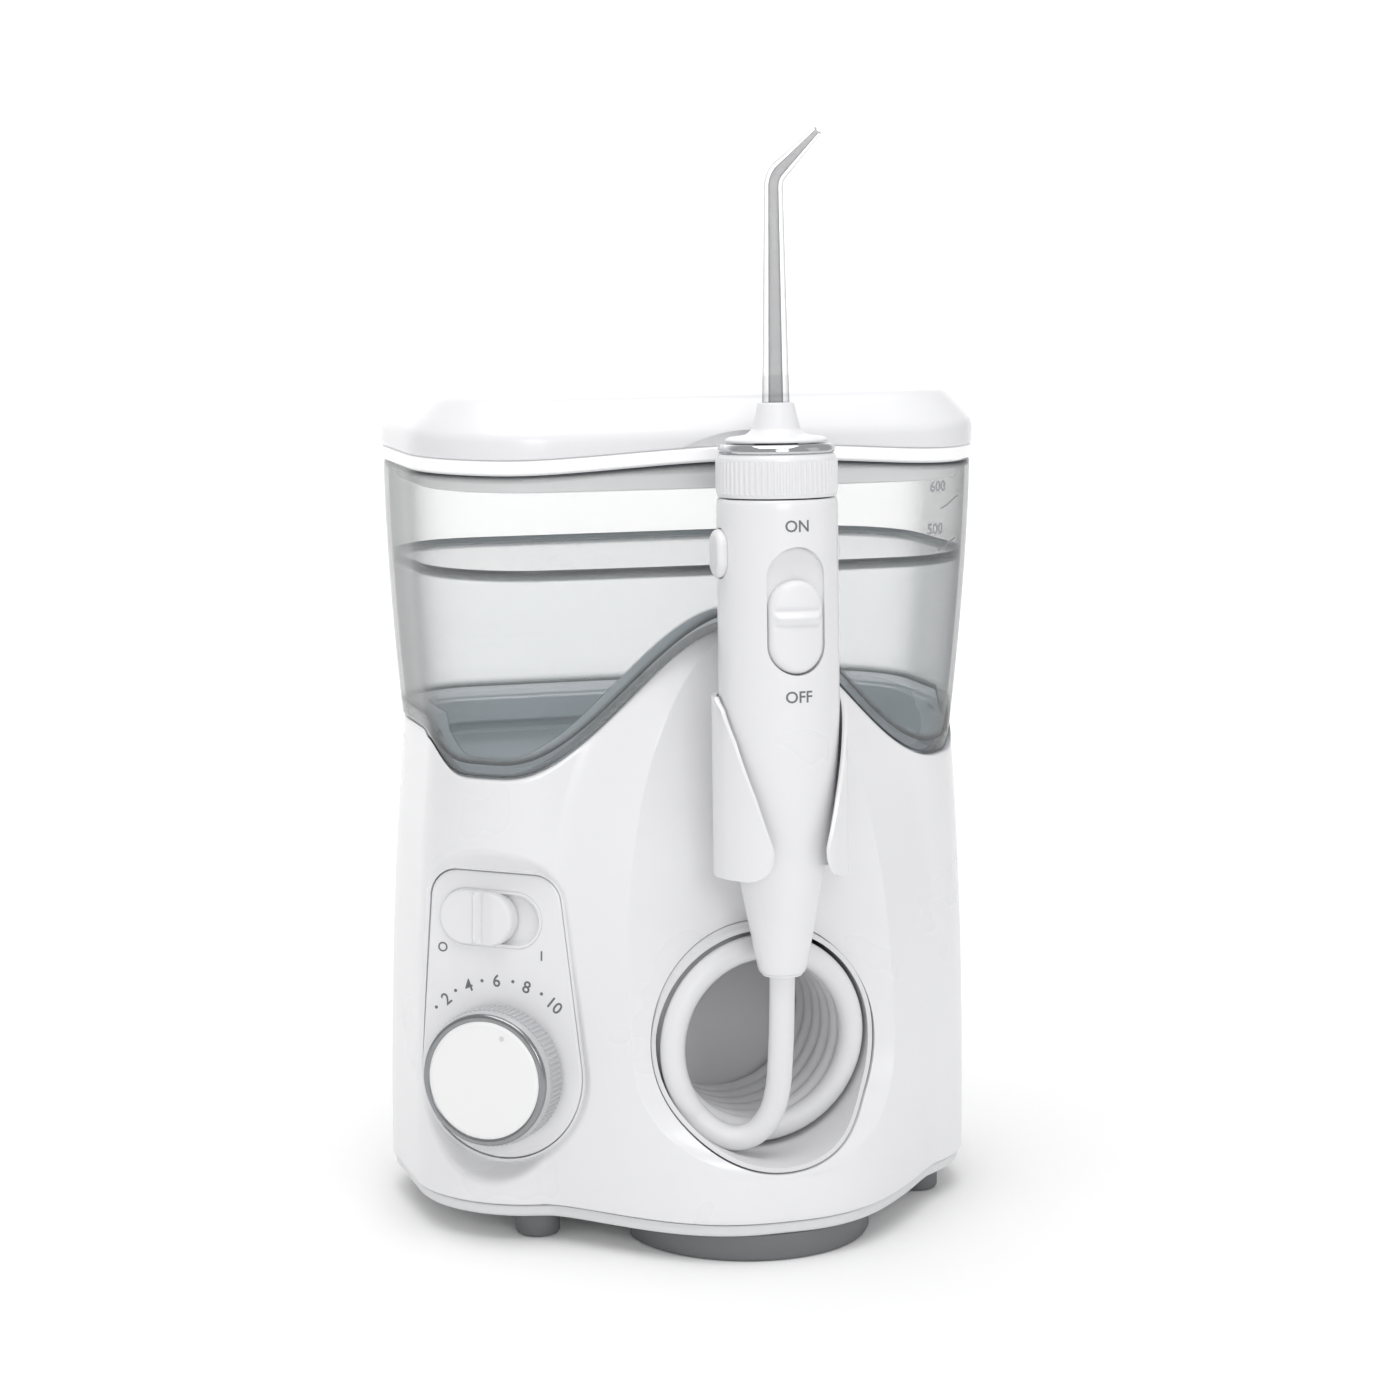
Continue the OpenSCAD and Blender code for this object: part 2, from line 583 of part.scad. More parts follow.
module storage_cover() color("white") difference() {
  union() {
    difference() {
      intersection() {
        loft([at_height(plan(-lid_over, 0), rim_z - 2), at_height(plan(-lid_over, 0), rim_z + lid_h - 9),
          at_height(plan(0.6, 0), rim_z + lid_h - 7.6), at_height(plan(7.2, 0), rim_z + lid_h - 1.6),
          at_height(plan(9.4, 0), rim_z + lid_h - 0.8), at_height(plan(20, 0), rim_z + lid_h)]);
        lid_slab(rim_z + tray_h + 0.3, rim_z + 40);
      }
      loft([at_height(plan(1.8, 0), rim_z - 3), at_height(plan(1.8, 0), rim_z + lid_h - 9.4),
        at_height(plan(9.2, 0), rim_z + lid_h - 2.6)]);
      translate([centre_x, front_y - 1.8, rim_z - 26]) rotate([90, 0, 0]) cylinder(r = 35, h = 12);
    }
    hinge_knuckles([-hinge_x - 5.4, -hinge_x + 5.4, hinge_x - 5.4, hinge_x + 5.4], 5, 0.04);
    for (x = [-hinge_x, hinge_x], s = [-1, 1])
      translate([x + s * 5.4 - 2.5, back_y - 2, hinge_z + 0.4]) cube([5, 2.6, 3]);
  }
  for (x = [-hinge_x, hinge_x])
    translate([x - 2.9, hinge_y - hinge_r - 0.4, hinge_z - hinge_r - 0.4]) cube([5.8, 10, 2 * hinge_r + 0.8]);
  translate([-80, hinge_y, hinge_z]) rotate([0, 90, 0]) cylinder(r = pin_r + 0.04, h = 160);
}

// ---------- controls ----------

module pressure_dial() color("gainsboro") on_panel() difference() {
  union() {
    translate([0, 0, 0.6]) cylinder(r = dial_r - 0.4, h = dial_h - 1.6);
    for (i = [0:47]) rotate(7.5 * i) translate([dial_r - 0.7, 0, 0.6]) cylinder(r = 0.6,
        h = dial_h - 2.6, $fn = 8);
  }
  translate([0, 0, -1]) cylinder(r = spindle_r - 0.4, h = 6);
}

module dial_cap() color("white") on_panel() translate([0, 0, dial_h - 1]) cylinder(r = dial_r - 1.4, h = 1.4);

module dial_ring() color("silver") on_panel() translate([0, 0, dial_h - 1])
  rotate_extrude() translate([dial_r - 1.4, 0]) square([1.2, 1]);

module regulator_spindle() color("silver") on_panel() {
  translate([0, 0, -panel_t - 2.4 - 10]) cylinder(r = spindle_r, h = panel_t + 13);
  translate([0, 0, 0.6]) cylinder(r = spindle_r - 0.4, h = 4.4);
}

module power_switch() color("white") on_panel() translate([slot_at[0] - (slot_w - slider_w) / 2 + 0.2,
    slot_at[1], 0]) {
  translate([0, 0, -panel_t + 0.3]) linear_extrude(4.3) obround(slider_w, slot_h - 0.6);
  translate([-0.7, -5.4, 2.5]) cube([1.4, 10.8, 0.8]);
  translate([-2.5, -2, -panel_t - 5]) cube([5, 4, 5.4]);
}

// ---------- handle ----------

module handle_shell() color("white") on_handle() difference() {
  union() {
    rotate_extrude() polygon(concat(
      [for (z = grip_levels) [grip_profile(z), z]], [[grip_r, grip_l]],
      [[grip_r - 2, grip_l]],
      [for (i = [len(grip_levels) - 1:-1:1]) [grip_profile(grip_levels[i]) - 2, grip_levels[i]]],
      [[nose_r - 1.6, 6], [nose_r - 1.6, 0]]));
    translate([0, 1.6 - recess_floor, recess_mid]) rotate([90, 0, 0]) linear_extrude(2)
        obround(recess_w, recess_l + 2);
  }
  translate([0, -recess_floor, recess_mid]) rotate([90, 0, 0]) linear_extrude(10) obround(recess_w, recess_l);
  translate([0, 0, button_mid]) rotate([0, -90, 0]) translate([0, 0, 6]) linear_extrude(10)
      obround(button_l + 0.6, button_w + 0.6);
}

module handle_valve() color("whitesmoke") on_handle() difference() {
  union() {
    translate([0, 0, 10]) cylinder(r = 3, h = 52);
    translate([0, 0, 62]) cylinder(r = 7, h = 41);
    translate([0, 0, 98]) cylinder(r = grip_r - 2.1, h = 4);
  }
  translate([0, 0, 92]) cylinder(r = 3.6, h = 20);
  translate([0, 0, 2]) cylinder(r = 1.2, h = 110);
}

module nose_fitting() color("white") on_handle() rotate_extrude()
  polygon([[1.2, 0], [nose_r - 1.7, 0], [nose_r - 1.7, 5.8], [5, 9.8], [1.2, 9.8]]);

module flow_switch() color("white") on_handle() {
  intersection() {
    translate([0, -recess_floor - 0.2, recess_mid - (recess_l - slide_l) / 2 + 0.3]) rotate([90, 0, 0])
      linear_extrude(4) obround(recess_w - 0.7, slide_l);
    translate([0, 0, 50]) cylinder(r = grip_r + 0.5, h = 50);
  }
  translate([-5, -grip_r - 1, recess_mid - 2.2]) cube([10, 1.2, 1.6]);
}

module eject_button() color("white") on_handle() translate([0, 0, button_mid]) rotate([0, -90, 0]) {
  translate([0, 0, grip_r - 2.3]) linear_extrude(3.9) obround(button_l, button_w);
  translate([0, 0, grip_r - 3.1]) cylinder(r = 1.2, h = 0.8);
}

module button_spring() color("silver") on_handle() translate([0, 0, button_mid]) rotate([0, -90, 0])
  translate([0, 0, 7.4]) rotate_extrude() translate([1.5, 0]) square([0.5, grip_r - 10.7]);

module tip_collar() color("white") on_handle() difference() {
  union() {
    translate([0, 0, grip_l + 0.3]) cylinder(r = grip_r - 0.2, h = collar_l);
    for (i = [0:47]) rotate(7.5 * i) translate([grip_r - 0.3, 0, grip_l + 0.9]) cylinder(r = 0.5,
        h = collar_l - 1.2, $fn = 8);
  }
  translate([0, 0, grip_l - 1]) cylinder(r = 5.2, h = 20);
}

module chrome_ring() color("silver") on_handle() translate([0, 0, grip_l + collar_l + 0.3])
  rotate_extrude() polygon([[5.2, 0], [12.6, 0], [12.6, 1.4], [12, 2], [5.2, 2]]);

tip_z = grip_l + collar_l + 2.6;
module tip_hub() color("white") on_handle() difference() {
  translate([0, 0, tip_z]) rotate_extrude() polygon([
    [0, -12], [4.6, -12], [4.6, 0], [11, 0], [11, 0.5], [10.4, 1], [5.4, 1.8], [4.8, 3], [3.6, 8.4],
        [0, 8.4]]);
  translate([0, 0, tip_z - 14]) cylinder(r = 1.4, h = 15);
  translate([0, 0, tip_z + 1]) cylinder(r = 2.9, h = 10);
}

// Straight tapered tube that bends to one side at its end
bend_r = 5;
bend_turn = 46;
module jet_tip() color([0.9, 0.92, 0.94, 0.6]) on_handle() translate([0, 0, tip_z + 1]) {
  rotate_extrude() polygon([[1.1, 0], [2.85, 0], [2.85, 7.4], [1.7, tip_l - 2], [0.9, tip_l - 2]]);
  translate([bend_r, 0, tip_l - 2]) rotate([90, 0, 180]) rotate_extrude(angle = bend_turn)
    translate([bend_r, 0]) circle(1.7, $fn = 32);
  translate([bend_r * (1 - cos(bend_turn)), 0, tip_l - 2 + bend_r * sin(bend_turn)]) rotate([0, bend_turn, 0])
    difference() {
      rotate_extrude() polygon([[0, -0.6], [1.8, -0.6], [1.05, 12], [0, 12]]);
      translate([0, 0, 4]) cylinder(r = 0.5, h = 10);
    }
}

module tip_seal() color("dimgray") on_handle() translate([0, 0, tip_z - 9])
  rotate_extrude() translate([4.6, 0]) square([0.55, 1.6]);

base_housing();
bottom_cover();
front_foot();
corner_feet();
handle_cradle();
control_panel();
cavity_liner();
hose_fitting();
motor();
motor_bracket();
pump_body();
pump_head();
inlet_seal();
inlet_tube();
outlet_tube();
regulator_body();
circuit_board();
power_supply();
switch_module();
cord_gland();
housing_screws();
hose_coil();
hose_lead();
reservoir();
reservoir_valve();
lid_tray();
hinge_pins();
storage_cover();
pressure_dial();
dial_cap();
dial_ring();
regulator_spindle();
power_switch();
handle_shell();
handle_valve();
nose_fitting();
flow_switch();
eject_button();
button_spring();
tip_collar();
chrome_ring();
tip_hub();
jet_tip();
tip_seal();
motor_pinion();
crank_gear();
piston();
piston_seal();
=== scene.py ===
import math

import bmesh
import bpy
import numpy as np
from mathutils import Matrix, Vector


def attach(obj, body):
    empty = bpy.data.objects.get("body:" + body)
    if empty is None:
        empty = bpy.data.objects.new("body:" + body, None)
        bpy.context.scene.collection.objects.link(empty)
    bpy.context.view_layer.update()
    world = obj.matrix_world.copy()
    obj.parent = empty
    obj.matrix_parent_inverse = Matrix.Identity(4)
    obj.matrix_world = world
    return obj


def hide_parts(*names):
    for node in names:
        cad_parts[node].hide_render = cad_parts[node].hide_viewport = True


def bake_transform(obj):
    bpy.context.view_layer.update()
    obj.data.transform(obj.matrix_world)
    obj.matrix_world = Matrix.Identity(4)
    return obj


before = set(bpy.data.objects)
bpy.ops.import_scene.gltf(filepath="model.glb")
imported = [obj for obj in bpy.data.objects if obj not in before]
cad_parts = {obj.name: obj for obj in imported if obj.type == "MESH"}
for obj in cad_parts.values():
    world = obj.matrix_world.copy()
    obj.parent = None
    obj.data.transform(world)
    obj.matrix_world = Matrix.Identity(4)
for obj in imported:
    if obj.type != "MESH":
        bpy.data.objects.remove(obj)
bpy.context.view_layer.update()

# ---------------------------------------------------------------- camera and studio
# The flosser stands on a seamless white sweep. It is seen from its dial side, a little above its lid,
# through a long lens, under one wide soft lamp overhead, a fill in front and one on the right.
long_lens = 88.7
camera_turn, camera_dip = -18.0, 9.06
camera_data = bpy.data.cameras.new("camera")
camera_data.lens = long_lens
camera_data.sensor_width = 36
camera_data.clip_end = 20
camera = bpy.data.objects.new("camera", camera_data)
camera.location = (-0.2395, -0.7374, 0.2416)
camera.rotation_euler = (math.radians(90 - camera_dip), 0, math.radians(camera_turn))
bpy.context.collection.objects.link(camera)
bpy.context.scene.camera = camera

scene = bpy.context.scene
scene.view_settings.view_transform = "Standard"
scene.view_settings.look = "None"

world = bpy.data.worlds.new("white_room")
world.use_nodes = True
world.node_tree.nodes["Background"].inputs["Color"].default_value = (1, 1, 1, 1)
world.node_tree.nodes["Background"].inputs["Strength"].default_value = 0.50
scene.world = world


def soft_lamp(name, place, aim, size, power):
    lamp = bpy.data.lights.new(name, "AREA")
    lamp.shape, lamp.size, lamp.size_y, lamp.energy = "RECTANGLE", size[0], size[1], power
    holder = bpy.data.objects.new(name, lamp)
    holder.location = place
    holder.rotation_euler = (Vector(aim) - Vector(place)).to_track_quat("-Z", "Y").to_euler()
    bpy.context.collection.objects.link(holder)


soft_lamp("overhead", (-0.10, -0.20, 1.10), (0, 0.05, 0.08), (0.9, 0.9), 7.4)
soft_lamp("fill_front", (-0.15, -1.25, 0.50), (0, 0, 0.10), (0.5, 0.4), 3.3)
soft_lamp("fill_right", (0.95, -0.55, 0.45), (0, 0, 0.12), (0.5, 0.8), 0.3)
soft_lamp("backdrop", (0.1, 0.75, 0.95), (0.1, 1.5, 0.3), (2.4, 0.5), 13.0)

sweep_mesh = bpy.data.meshes.new("sweep")
sweep_r, sweep_from = 0.9, 0.6
sweep_rows = [(-3.0, 0.0)]
for a in np.linspace(0, math.pi / 2, 16):
    sweep_rows.append((sweep_from + sweep_r * math.sin(a), sweep_r - sweep_r * math.cos(a)))
sweep_rows.append((sweep_from + sweep_r, 3.0))
sweep_mesh.from_pydata([(x, y, z) for y, z in sweep_rows for x in (-5, 5)], [],
                       [(2 * i, 2 * i + 1, 2 * i + 3, 2 * i + 2) for i in range(len(sweep_rows) - 1)])
sweep = bpy.data.objects.new("sweep", sweep_mesh)
bpy.context.collection.objects.link(sweep)
paper = bpy.data.materials.new("sweep_paper")
paper.use_nodes = True
paper_look = paper.node_tree.nodes["Principled BSDF"]
paper_look.inputs["Base Color"].default_value = (0.93, 0.93, 0.93, 1)
paper_look.inputs["Roughness"].default_value = 0.75
paper_look.inputs["Specular IOR Level"].default_value = 0.15
sweep_mesh.materials.append(paper)

# ---------------------------------------------------------------- hose
# A smooth white flexible hose, about a metre of it, is pushed in turns into the round cavity. Its
# back end leaves the fitting in the cavity's floor, and its front end hangs from the handle's nose.
mm = 0.001


def maths(tree, operation, *values, clamp=False):
    """A maths node fed with numbers or sockets; gives its output."""
    node = tree.nodes.new("ShaderNodeMath")
    node.operation, node.use_clamp = operation, clamp
    for socket, value in zip(node.inputs, values):
        if isinstance(value, (int, float)):
            socket.default_value = value
        else:
            tree.links.new(value, socket)
    return node.outputs[0]


def moulding_texture():
    """The fine orange-peel that a mould leaves, and the colour's slow drift over a large wall."""
    tree = bpy.data.node_groups.new("moulding_texture", "ShaderNodeTree")
    face = tree.interface
    for name, value in (("Peel scale", 900.0), ("Drift scale", 22.0), ("Drift", 0.02), ("Gloss drift", 0.05)):
        face.new_socket(name, in_out="INPUT", socket_type="NodeSocketFloat").default_value = value
    face.new_socket("Base roughness", in_out="INPUT", socket_type="NodeSocketFloat").default_value = 0.3
    face.new_socket("Colour", in_out="INPUT", socket_type="NodeSocketColor")
    face.new_socket("Colour", in_out="OUTPUT", socket_type="NodeSocketColor")
    face.new_socket("Roughness", in_out="OUTPUT", socket_type="NodeSocketFloat")
    face.new_socket("Height", in_out="OUTPUT", socket_type="NodeSocketFloat")
    nodes, link = tree.nodes, tree.links.new
    given, out = nodes.new("NodeGroupInput"), nodes.new("NodeGroupOutput")
    coords = nodes.new("ShaderNodeTexCoord")
    peel, drift = nodes.new("ShaderNodeTexNoise"), nodes.new("ShaderNodeTexNoise")
    peel.inputs["Detail"].default_value = 2
    drift.inputs["Detail"].default_value = 3
    for noise, scale in ((peel, "Peel scale"), (drift, "Drift scale")):
        link(coords.outputs["Object"], noise.inputs["Vector"])
        link(given.outputs[scale], noise.inputs["Scale"])
    around = maths(tree, "SUBTRACT", drift.outputs["Fac"], 0.5)
    shade = nodes.new("ShaderNodeHueSaturation")
    link(given.outputs["Colour"], shade.inputs["Color"])
    link(maths(tree, "MULTIPLY_ADD", around, given.outputs["Drift"], 1.0), shade.inputs["Value"])
    link(shade.outputs["Color"], out.inputs["Colour"])
    link(maths(tree, "MULTIPLY_ADD", around, given.outputs["Gloss drift"], given.outputs["Base roughness"]),
         out.inputs["Roughness"])
    link(peel.outputs["Fac"], out.inputs["Height"])
    return tree


texture_group = moulding_texture()


def moulded(name, colour, rough=0.3, coat=0.0, peel=0.02, drift=0.02, peel_scale=900.0, metallic=0.0,
            specular=0.5):
    """An injection-moulded plastic, or another smooth finish, with the mould's texture on it."""
    material = bpy.data.materials.new(name)
    material.use_nodes = True
    nodes, link = material.node_tree.nodes, material.node_tree.links.new
    look = nodes["Principled BSDF"]
    grain = nodes.new("ShaderNodeGroup")
    grain.node_tree = texture_group
    grain.inputs["Peel scale"].default_value = peel_scale
    grain.inputs["Drift"].default_value = drift
    grain.inputs["Base roughness"].default_value = rough
    grain.inputs["Colour"].default_value = (*colour, 1)
    bump = nodes.new("ShaderNodeBump")
    bump.inputs["Strength"].default_value = peel
    bump.inputs["Distance"].default_value = 0.0002
    link(grain.outputs["Height"], bump.inputs["Height"])
    link(grain.outputs["Colour"], look.inputs["Base Color"])
    link(grain.outputs["Roughness"], look.inputs["Roughness"])
    link(bump.outputs["Normal"], look.inputs["Normal"])
    look.inputs["Metallic"].default_value = metallic
    look.inputs["Specular IOR Level"].default_value = specular
    look.inputs["Coat Weight"].default_value = coat
    look.inputs["Coat Roughness"].default_value = 0.08
    return material


def moved(points, matrix):
    m = np.array(matrix)
    return np.asarray(points, float) @ m[:3, :3].T + m[:3, 3]


def made(name, points, faces, material, body, *nodes, angle=35, place=None):
    """A closed moulding in millimetres, put in the frame with its body, material and CAD nodes."""
    if place is not None:
        points = moved(points, place)
    mesh = bpy.data.meshes.new(name)
    mesh.from_pydata((np.asarray(points, float) * mm).tolist(), [], [list(map(int, f)) for f in faces])
    work = bmesh.new()
    work.from_mesh(mesh)
    bmesh.ops.remove_doubles(work, verts=work.verts, dist=2e-6)
    bmesh.ops.recalc_face_normals(work, faces=work.faces)
    work.to_mesh(mesh)
    work.free()
    piece = bpy.data.objects.new(name, mesh)
    bpy.context.collection.objects.link(piece)
    if material is not None:
        mesh.materials.append(material)
        mesh.shade_smooth()
        mesh.set_sharp_from_angle(angle=math.radians(angle))
    if body:
        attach(piece, body)
    if nodes:
        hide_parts(*nodes)
    return piece


def skin(rings, close=True):
    """Points and faces over a stack of rings, with a cap on its first and last."""
    rings = np.asarray(rings, float)
    rows, n = rings.shape[:2]
    k, i = np.meshgrid(np.arange(rows - 1), np.arange(n), indexing="ij")
    j = (i + 1) % n
    faces = np.stack([k * n + i, k * n + j, (k + 1) * n + j, (k + 1) * n + i], -1).reshape(-1, 4).tolist()
    if close:
        faces += [list(range(n))[::-1], list(range((rows - 1) * n, rows * n))]
    return rings.reshape(-1, 3), faces


front_y, body_depth, centre_x = -19.0, 71.0, 4.5
back_y = front_y + body_depth
hose_d = 5.6
coil_r, cavity_r, cavity_z = 21.3, 26.4, 46.0
cavity_back_y, cavity_front_y = front_y + 25, front_y - 12.6
nose_y, nose_z = front_y - 25.6, 64.4


def tube(path, radius, sides=20):
    """Rings round a path, carried along without twist."""
    path = np.asarray(path, float)
    radius = np.broadcast_to(radius, len(path))
    along = np.gradient(path, axis=0)
    along /= np.linalg.norm(along, axis=1)[:, None]
    side = np.cross(along[0], [0.0, 1.0, 0.02])
    rings = []
    for p, t, r in zip(path, along, radius):
        side = side - t * np.dot(side, t)
        side /= np.linalg.norm(side)
        up = np.cross(t, side)
        a = np.linspace(0, 2 * np.pi, sides, endpoint=False)[:, None]
        rings.append(p + r * (np.cos(a) * side + np.sin(a) * up))
    return rings


def distance_along(line):
    return np.r_[0, np.cumsum(np.linalg.norm(np.diff(line, axis=0), axis=1))]


def curve_through(points, count):
    """A smooth line through points, evenly spaced by its length."""
    p = np.asarray(points, float)
    p = np.vstack([2 * p[0] - p[1], p, 2 * p[-1] - p[-2]])
    fine = []
    for i in range(1, len(p) - 2):
        t = np.linspace(0, 1, 20, endpoint=False)[:, None]
        a, b, c, d = p[i - 1], p[i], p[i + 1], p[i + 2]
        fine.append(0.5 * (2 * b + (c - a) * t + (2 * a - 5 * b + 4 * c - d) * t**2
                           + (3 * b - a - 3 * c + d) * t**3))
    fine = np.vstack(fine + [p[-2:-1]])
    s = distance_along(fine)
    even = np.linspace(0, s[-1], count)
    return np.stack([np.interp(even, s, fine[:, k]) for k in range(3)], 1)


lead_route = [(centre_x - 19.4, nose_y + 11, 35.4), (centre_x - 16.6, nose_y + 11, 31),
              (centre_x - 13, nose_y + 9.3, 27.4), (centre_x - 8.6, nose_y + 7.6, 25.6),
              (centre_x - 4.2, nose_y + 5.8, 27), (centre_x - 1.2, nose_y + 4, 31.5),
              (centre_x - 0.1, nose_y + 2.4, 37.5), (centre_x, nose_y + 1.2, 44), (centre_x, nose_y + 0.4, 51),
              (centre_x, nose_y + 0.1, 58), (centre_x, nose_y, 64)]
lead_line = curve_through(lead_route, 90)
lead_line = lead_line[np.argmax(lead_line[:, 0] > centre_x - 16.9):]
turn = np.radians(np.linspace(0, 2382, 530))
first, fitting_y, coil_back_y = math.radians(40), 7.2, 3.2
coil_y = np.where(turn < first, fitting_y + (coil_back_y - fitting_y) * turn / first,
                  coil_back_y + (lead_line[0, 1] - coil_back_y) * (turn - first) / (turn[-1] - first))
widen = np.clip((turn - turn[-1] + 1.2) / 1.2, 0, 1) ** 2
lead_r = math.hypot(lead_line[0, 0] - centre_x, lead_line[0, 2] - cavity_z)
coil_radius = coil_r + (lead_r - coil_r) * widen
coil_line = np.stack([centre_x + coil_radius * np.cos(turn), coil_y,
                      cavity_z + coil_radius * np.sin(turn)], 1)
coil_line = np.vstack([coil_line[:-1], lead_line[:1]])

hose_vinyl = moulded("hose_vinyl", (0.78, 0.78, 0.79), rough=0.42, peel=0.03, peel_scale=500.0)
coil = made("hose_in_turns", *skin(tube(coil_line, hose_d / 2, 16)), hose_vinyl, "base", "hose_coil", angle=60)
round(float(distance_along(coil_line)[-1]) * mm, 3)
lead = made("hose_front_end", *skin(tube(lead_line, hose_d / 2, 20)), hose_vinyl, None, "hose_lead", angle=60)
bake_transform(lead)
round(float(distance_along(lead_line)[-1]) * mm, 3)

# ---------------------------------------------------------------- housing
# The pump housing is one white moulding: two round lobes, a bulge in front with a niche sunk into
# it, and a wavy top edge that carries the reservoir. It is open below and closed by a base plate.
body_half, corner_r, wall = 66.0, 25.0, 2.6
bow, bulge_out, bulge_h = 2.5, 27.5, 129.0
seam_z, deck_z, deck_h = 9.0, 100.0, 2.6
valley_z, hill_h, wave_left, wave_right = 104.6, 33.0, 54.5, 48.5
side_z, side_from, side_x = 113.0, 56.0, 62.3
join_y = front_y + 28
niche_half, niche_mid_z, niche_low_z, niche_top_z = 31.0, 50.0, 19.0, 136.0
rim_z, seam_rise = 172.0, 2.3
white_shell = moulded("white_shell", (0.81, 0.81, 0.825), rough=0.28, coat=0.25)


def smooth(t):
    c = np.clip(t, 0, 1)
    return c * c * (3 - 2 * c)


def mound(u):
    return np.where(np.abs(u) >= 1, 0, (1 - np.minimum(np.abs(u), 1) ** 2.6) ** 1.6)


def swell(u):
    return np.where(np.abs(u) >= 1, 0, (1 + np.cos(np.pi * np.clip(u, -1, 1))) / 2)


def wave_height(x, y):
    """Height of the edge where the reservoir meets the housing."""
    u = (x - centre_x) / np.where(x < centre_x, wave_left, wave_right)
    rise = np.clip((np.abs(x) - side_from) / (side_x - side_from), 0, 1) ** 3
    front = valley_z + hill_h * swell(u) + (side_z - valley_z) * rise
    return np.where(y < join_y, front, side_z)


def columns(counts):
    """Places round the plan: left flank, niche, right flank, then corner and side by turns."""
    part = np.concatenate([np.full(n, k) for k, n in enumerate(counts)])
    t = np.concatenate([np.arange(n) / n for n in counts])
    return part, t


def plan(cols, inset, taper, out=0.0, half=48.0, niche=20.0, sunk=0.0):
    """The body's plan at one height: a rounded box whose front bulges by out over half a width,
    with a niche of its own half width sunk into the bulge. Every value may change round it."""
    part, t = cols
    one = np.ones(len(part))
    d = (inset + taper) * one
    hx, fy, by, r = body_half - d, front_y + d, back_y - d, corner_r - d
    niche = niche * one
    left, right = r - hx, hx - r
    angle = np.radians(90 * t + np.choose(part, [0, 0, 0, -90, 0, 0, 0, 90, 0, 180]))
    cos, sin = r * np.cos(angle), r * np.sin(angle)
    x = np.choose(part, [left + (centre_x - niche - left) * t, centre_x - niche + 2 * niche * t,
                         centre_x + niche + (right - centre_x - niche) * t, right + cos, hx, right + cos,
                         right + (left - right) * t, left + cos, -hx, left + cos])
    y = np.choose(part, [fy, fy, fy, fy + r + sin, fy + r + (by - fy - 2 * r) * t, by - r + sin, by,
                         by - r + sin,
                         by - r + (fy - by + 2 * r) * t, fy + r + sin])
    u, q = (x - centre_x) / half, (x - centre_x) / niche
    inside = np.where(np.abs(q) <= 1 + 1e-9, sunk, 0) * one
    edge = mound(niche / half)
    shift = (bow * (1 - (x / hx) ** 2) + out * (mound(u) + inside * (edge - mound(u)))
             - inside * 3 * (1 - q * q) * niche / niche_half)
    y = np.where(y > (fy + by) / 2, y, y - shift)
    return x, y


def housing_ring(cols, z, inset):
    """The housing's plan at a height, with its taper, its bulge and its niche as they are there."""
    z = np.broadcast_to(z, len(cols[0])).astype(float)
    rise = np.clip((z - seam_z) / bulge_h, 0, 1)
    taper = 3.7 * (np.maximum(0, z - seam_z) / 100) ** 2.2
    out = 0.5 + (bulge_out - 0.5) * (1 - rise**1.5)
    half = 14 + 34 * (1 - rise**4) ** 0.7
    above = (z - niche_mid_z) / (niche_top_z - niche_mid_z)
    below = (niche_mid_z - z) / (niche_mid_z - niche_low_z)
    niche = niche_half * np.where(z >= niche_mid_z, np.maximum(0, 1 - np.clip(above, 0, 9) ** 2.5) ** 0.6,
                                  np.maximum(0, 1 - np.clip(below, 0, 9) ** 3) ** 0.5)
    x, y = plan(cols, inset, taper, out, half - inset, np.maximum(0.6, niche), smooth((z - niche_low_z) / 15))
    return np.stack([x, y, z], 1)


def wave_ring(cols, inset, drop=0.0, ring=housing_ring):
    """The ring that runs along the wavy edge, found by walking up to it."""
    z = np.full(len(cols[0]), 110.0)
    for _ in range(25):
        p = ring(cols, z, inset)
        z = 0.5 * z + 0.5 * (wave_height(p[:, 0], p[:, 1]) - drop)
    return ring(cols, z, inset)


def well_ring(cols, z, inset, niche=20.0):
    """The plain rounded box of the well in the housing's top that the reservoir's tub drops into."""
    x, y = plan(cols, inset, 0.0, -bow, 200.0, niche)
    return np.stack([x, y, np.broadcast_to(z, len(x))], 1)


# The control panel's own plane, on the left lobe: x to its right, y up it, z out of it
panel_place = (Matrix.Translation((-50.4, front_y + 7.4, 38.0)) @ Matrix.Rotation(math.radians(-39), 4, "Z")
               @ Matrix.Rotation(math.radians(87.5), 4, "X"))


def rounded_outline(discs, grow, step=3):
    """Points round the hull of a few discs (x, y, r), each grown."""
    a = np.radians(np.arange(0, 360, step))
    circle = np.stack([np.cos(a), np.sin(a)], 1)
    ring = np.vstack([(x, y) + (r + grow) * circle for x, y, r in discs])
    order = []
    for angle in np.radians(np.arange(0, 360, step)):
        order.append(int(np.argmax(ring @ [math.cos(angle), math.sin(angle)])))
    keep = [order[0]]
    for i in order[1:]:
        if i != keep[-1]:
            keep.append(i)
    return ring[keep]


def depth_outside(points, outline):
    """How far points lie outside a convex outline (negative inside)."""
    edge = np.roll(outline, -1, 0) - outline
    normal = np.stack([edge[:, 1], -edge[:, 0]], 1) / np.linalg.norm(edge, axis=1)[:, None]
    return np.max(points @ normal.T - np.sum(outline * normal, 1), axis=1)


panel_discs = [(0, 0, 19.6), (-11.2, 38.6, 6.4), (7.6, 38.6, 6.4)]


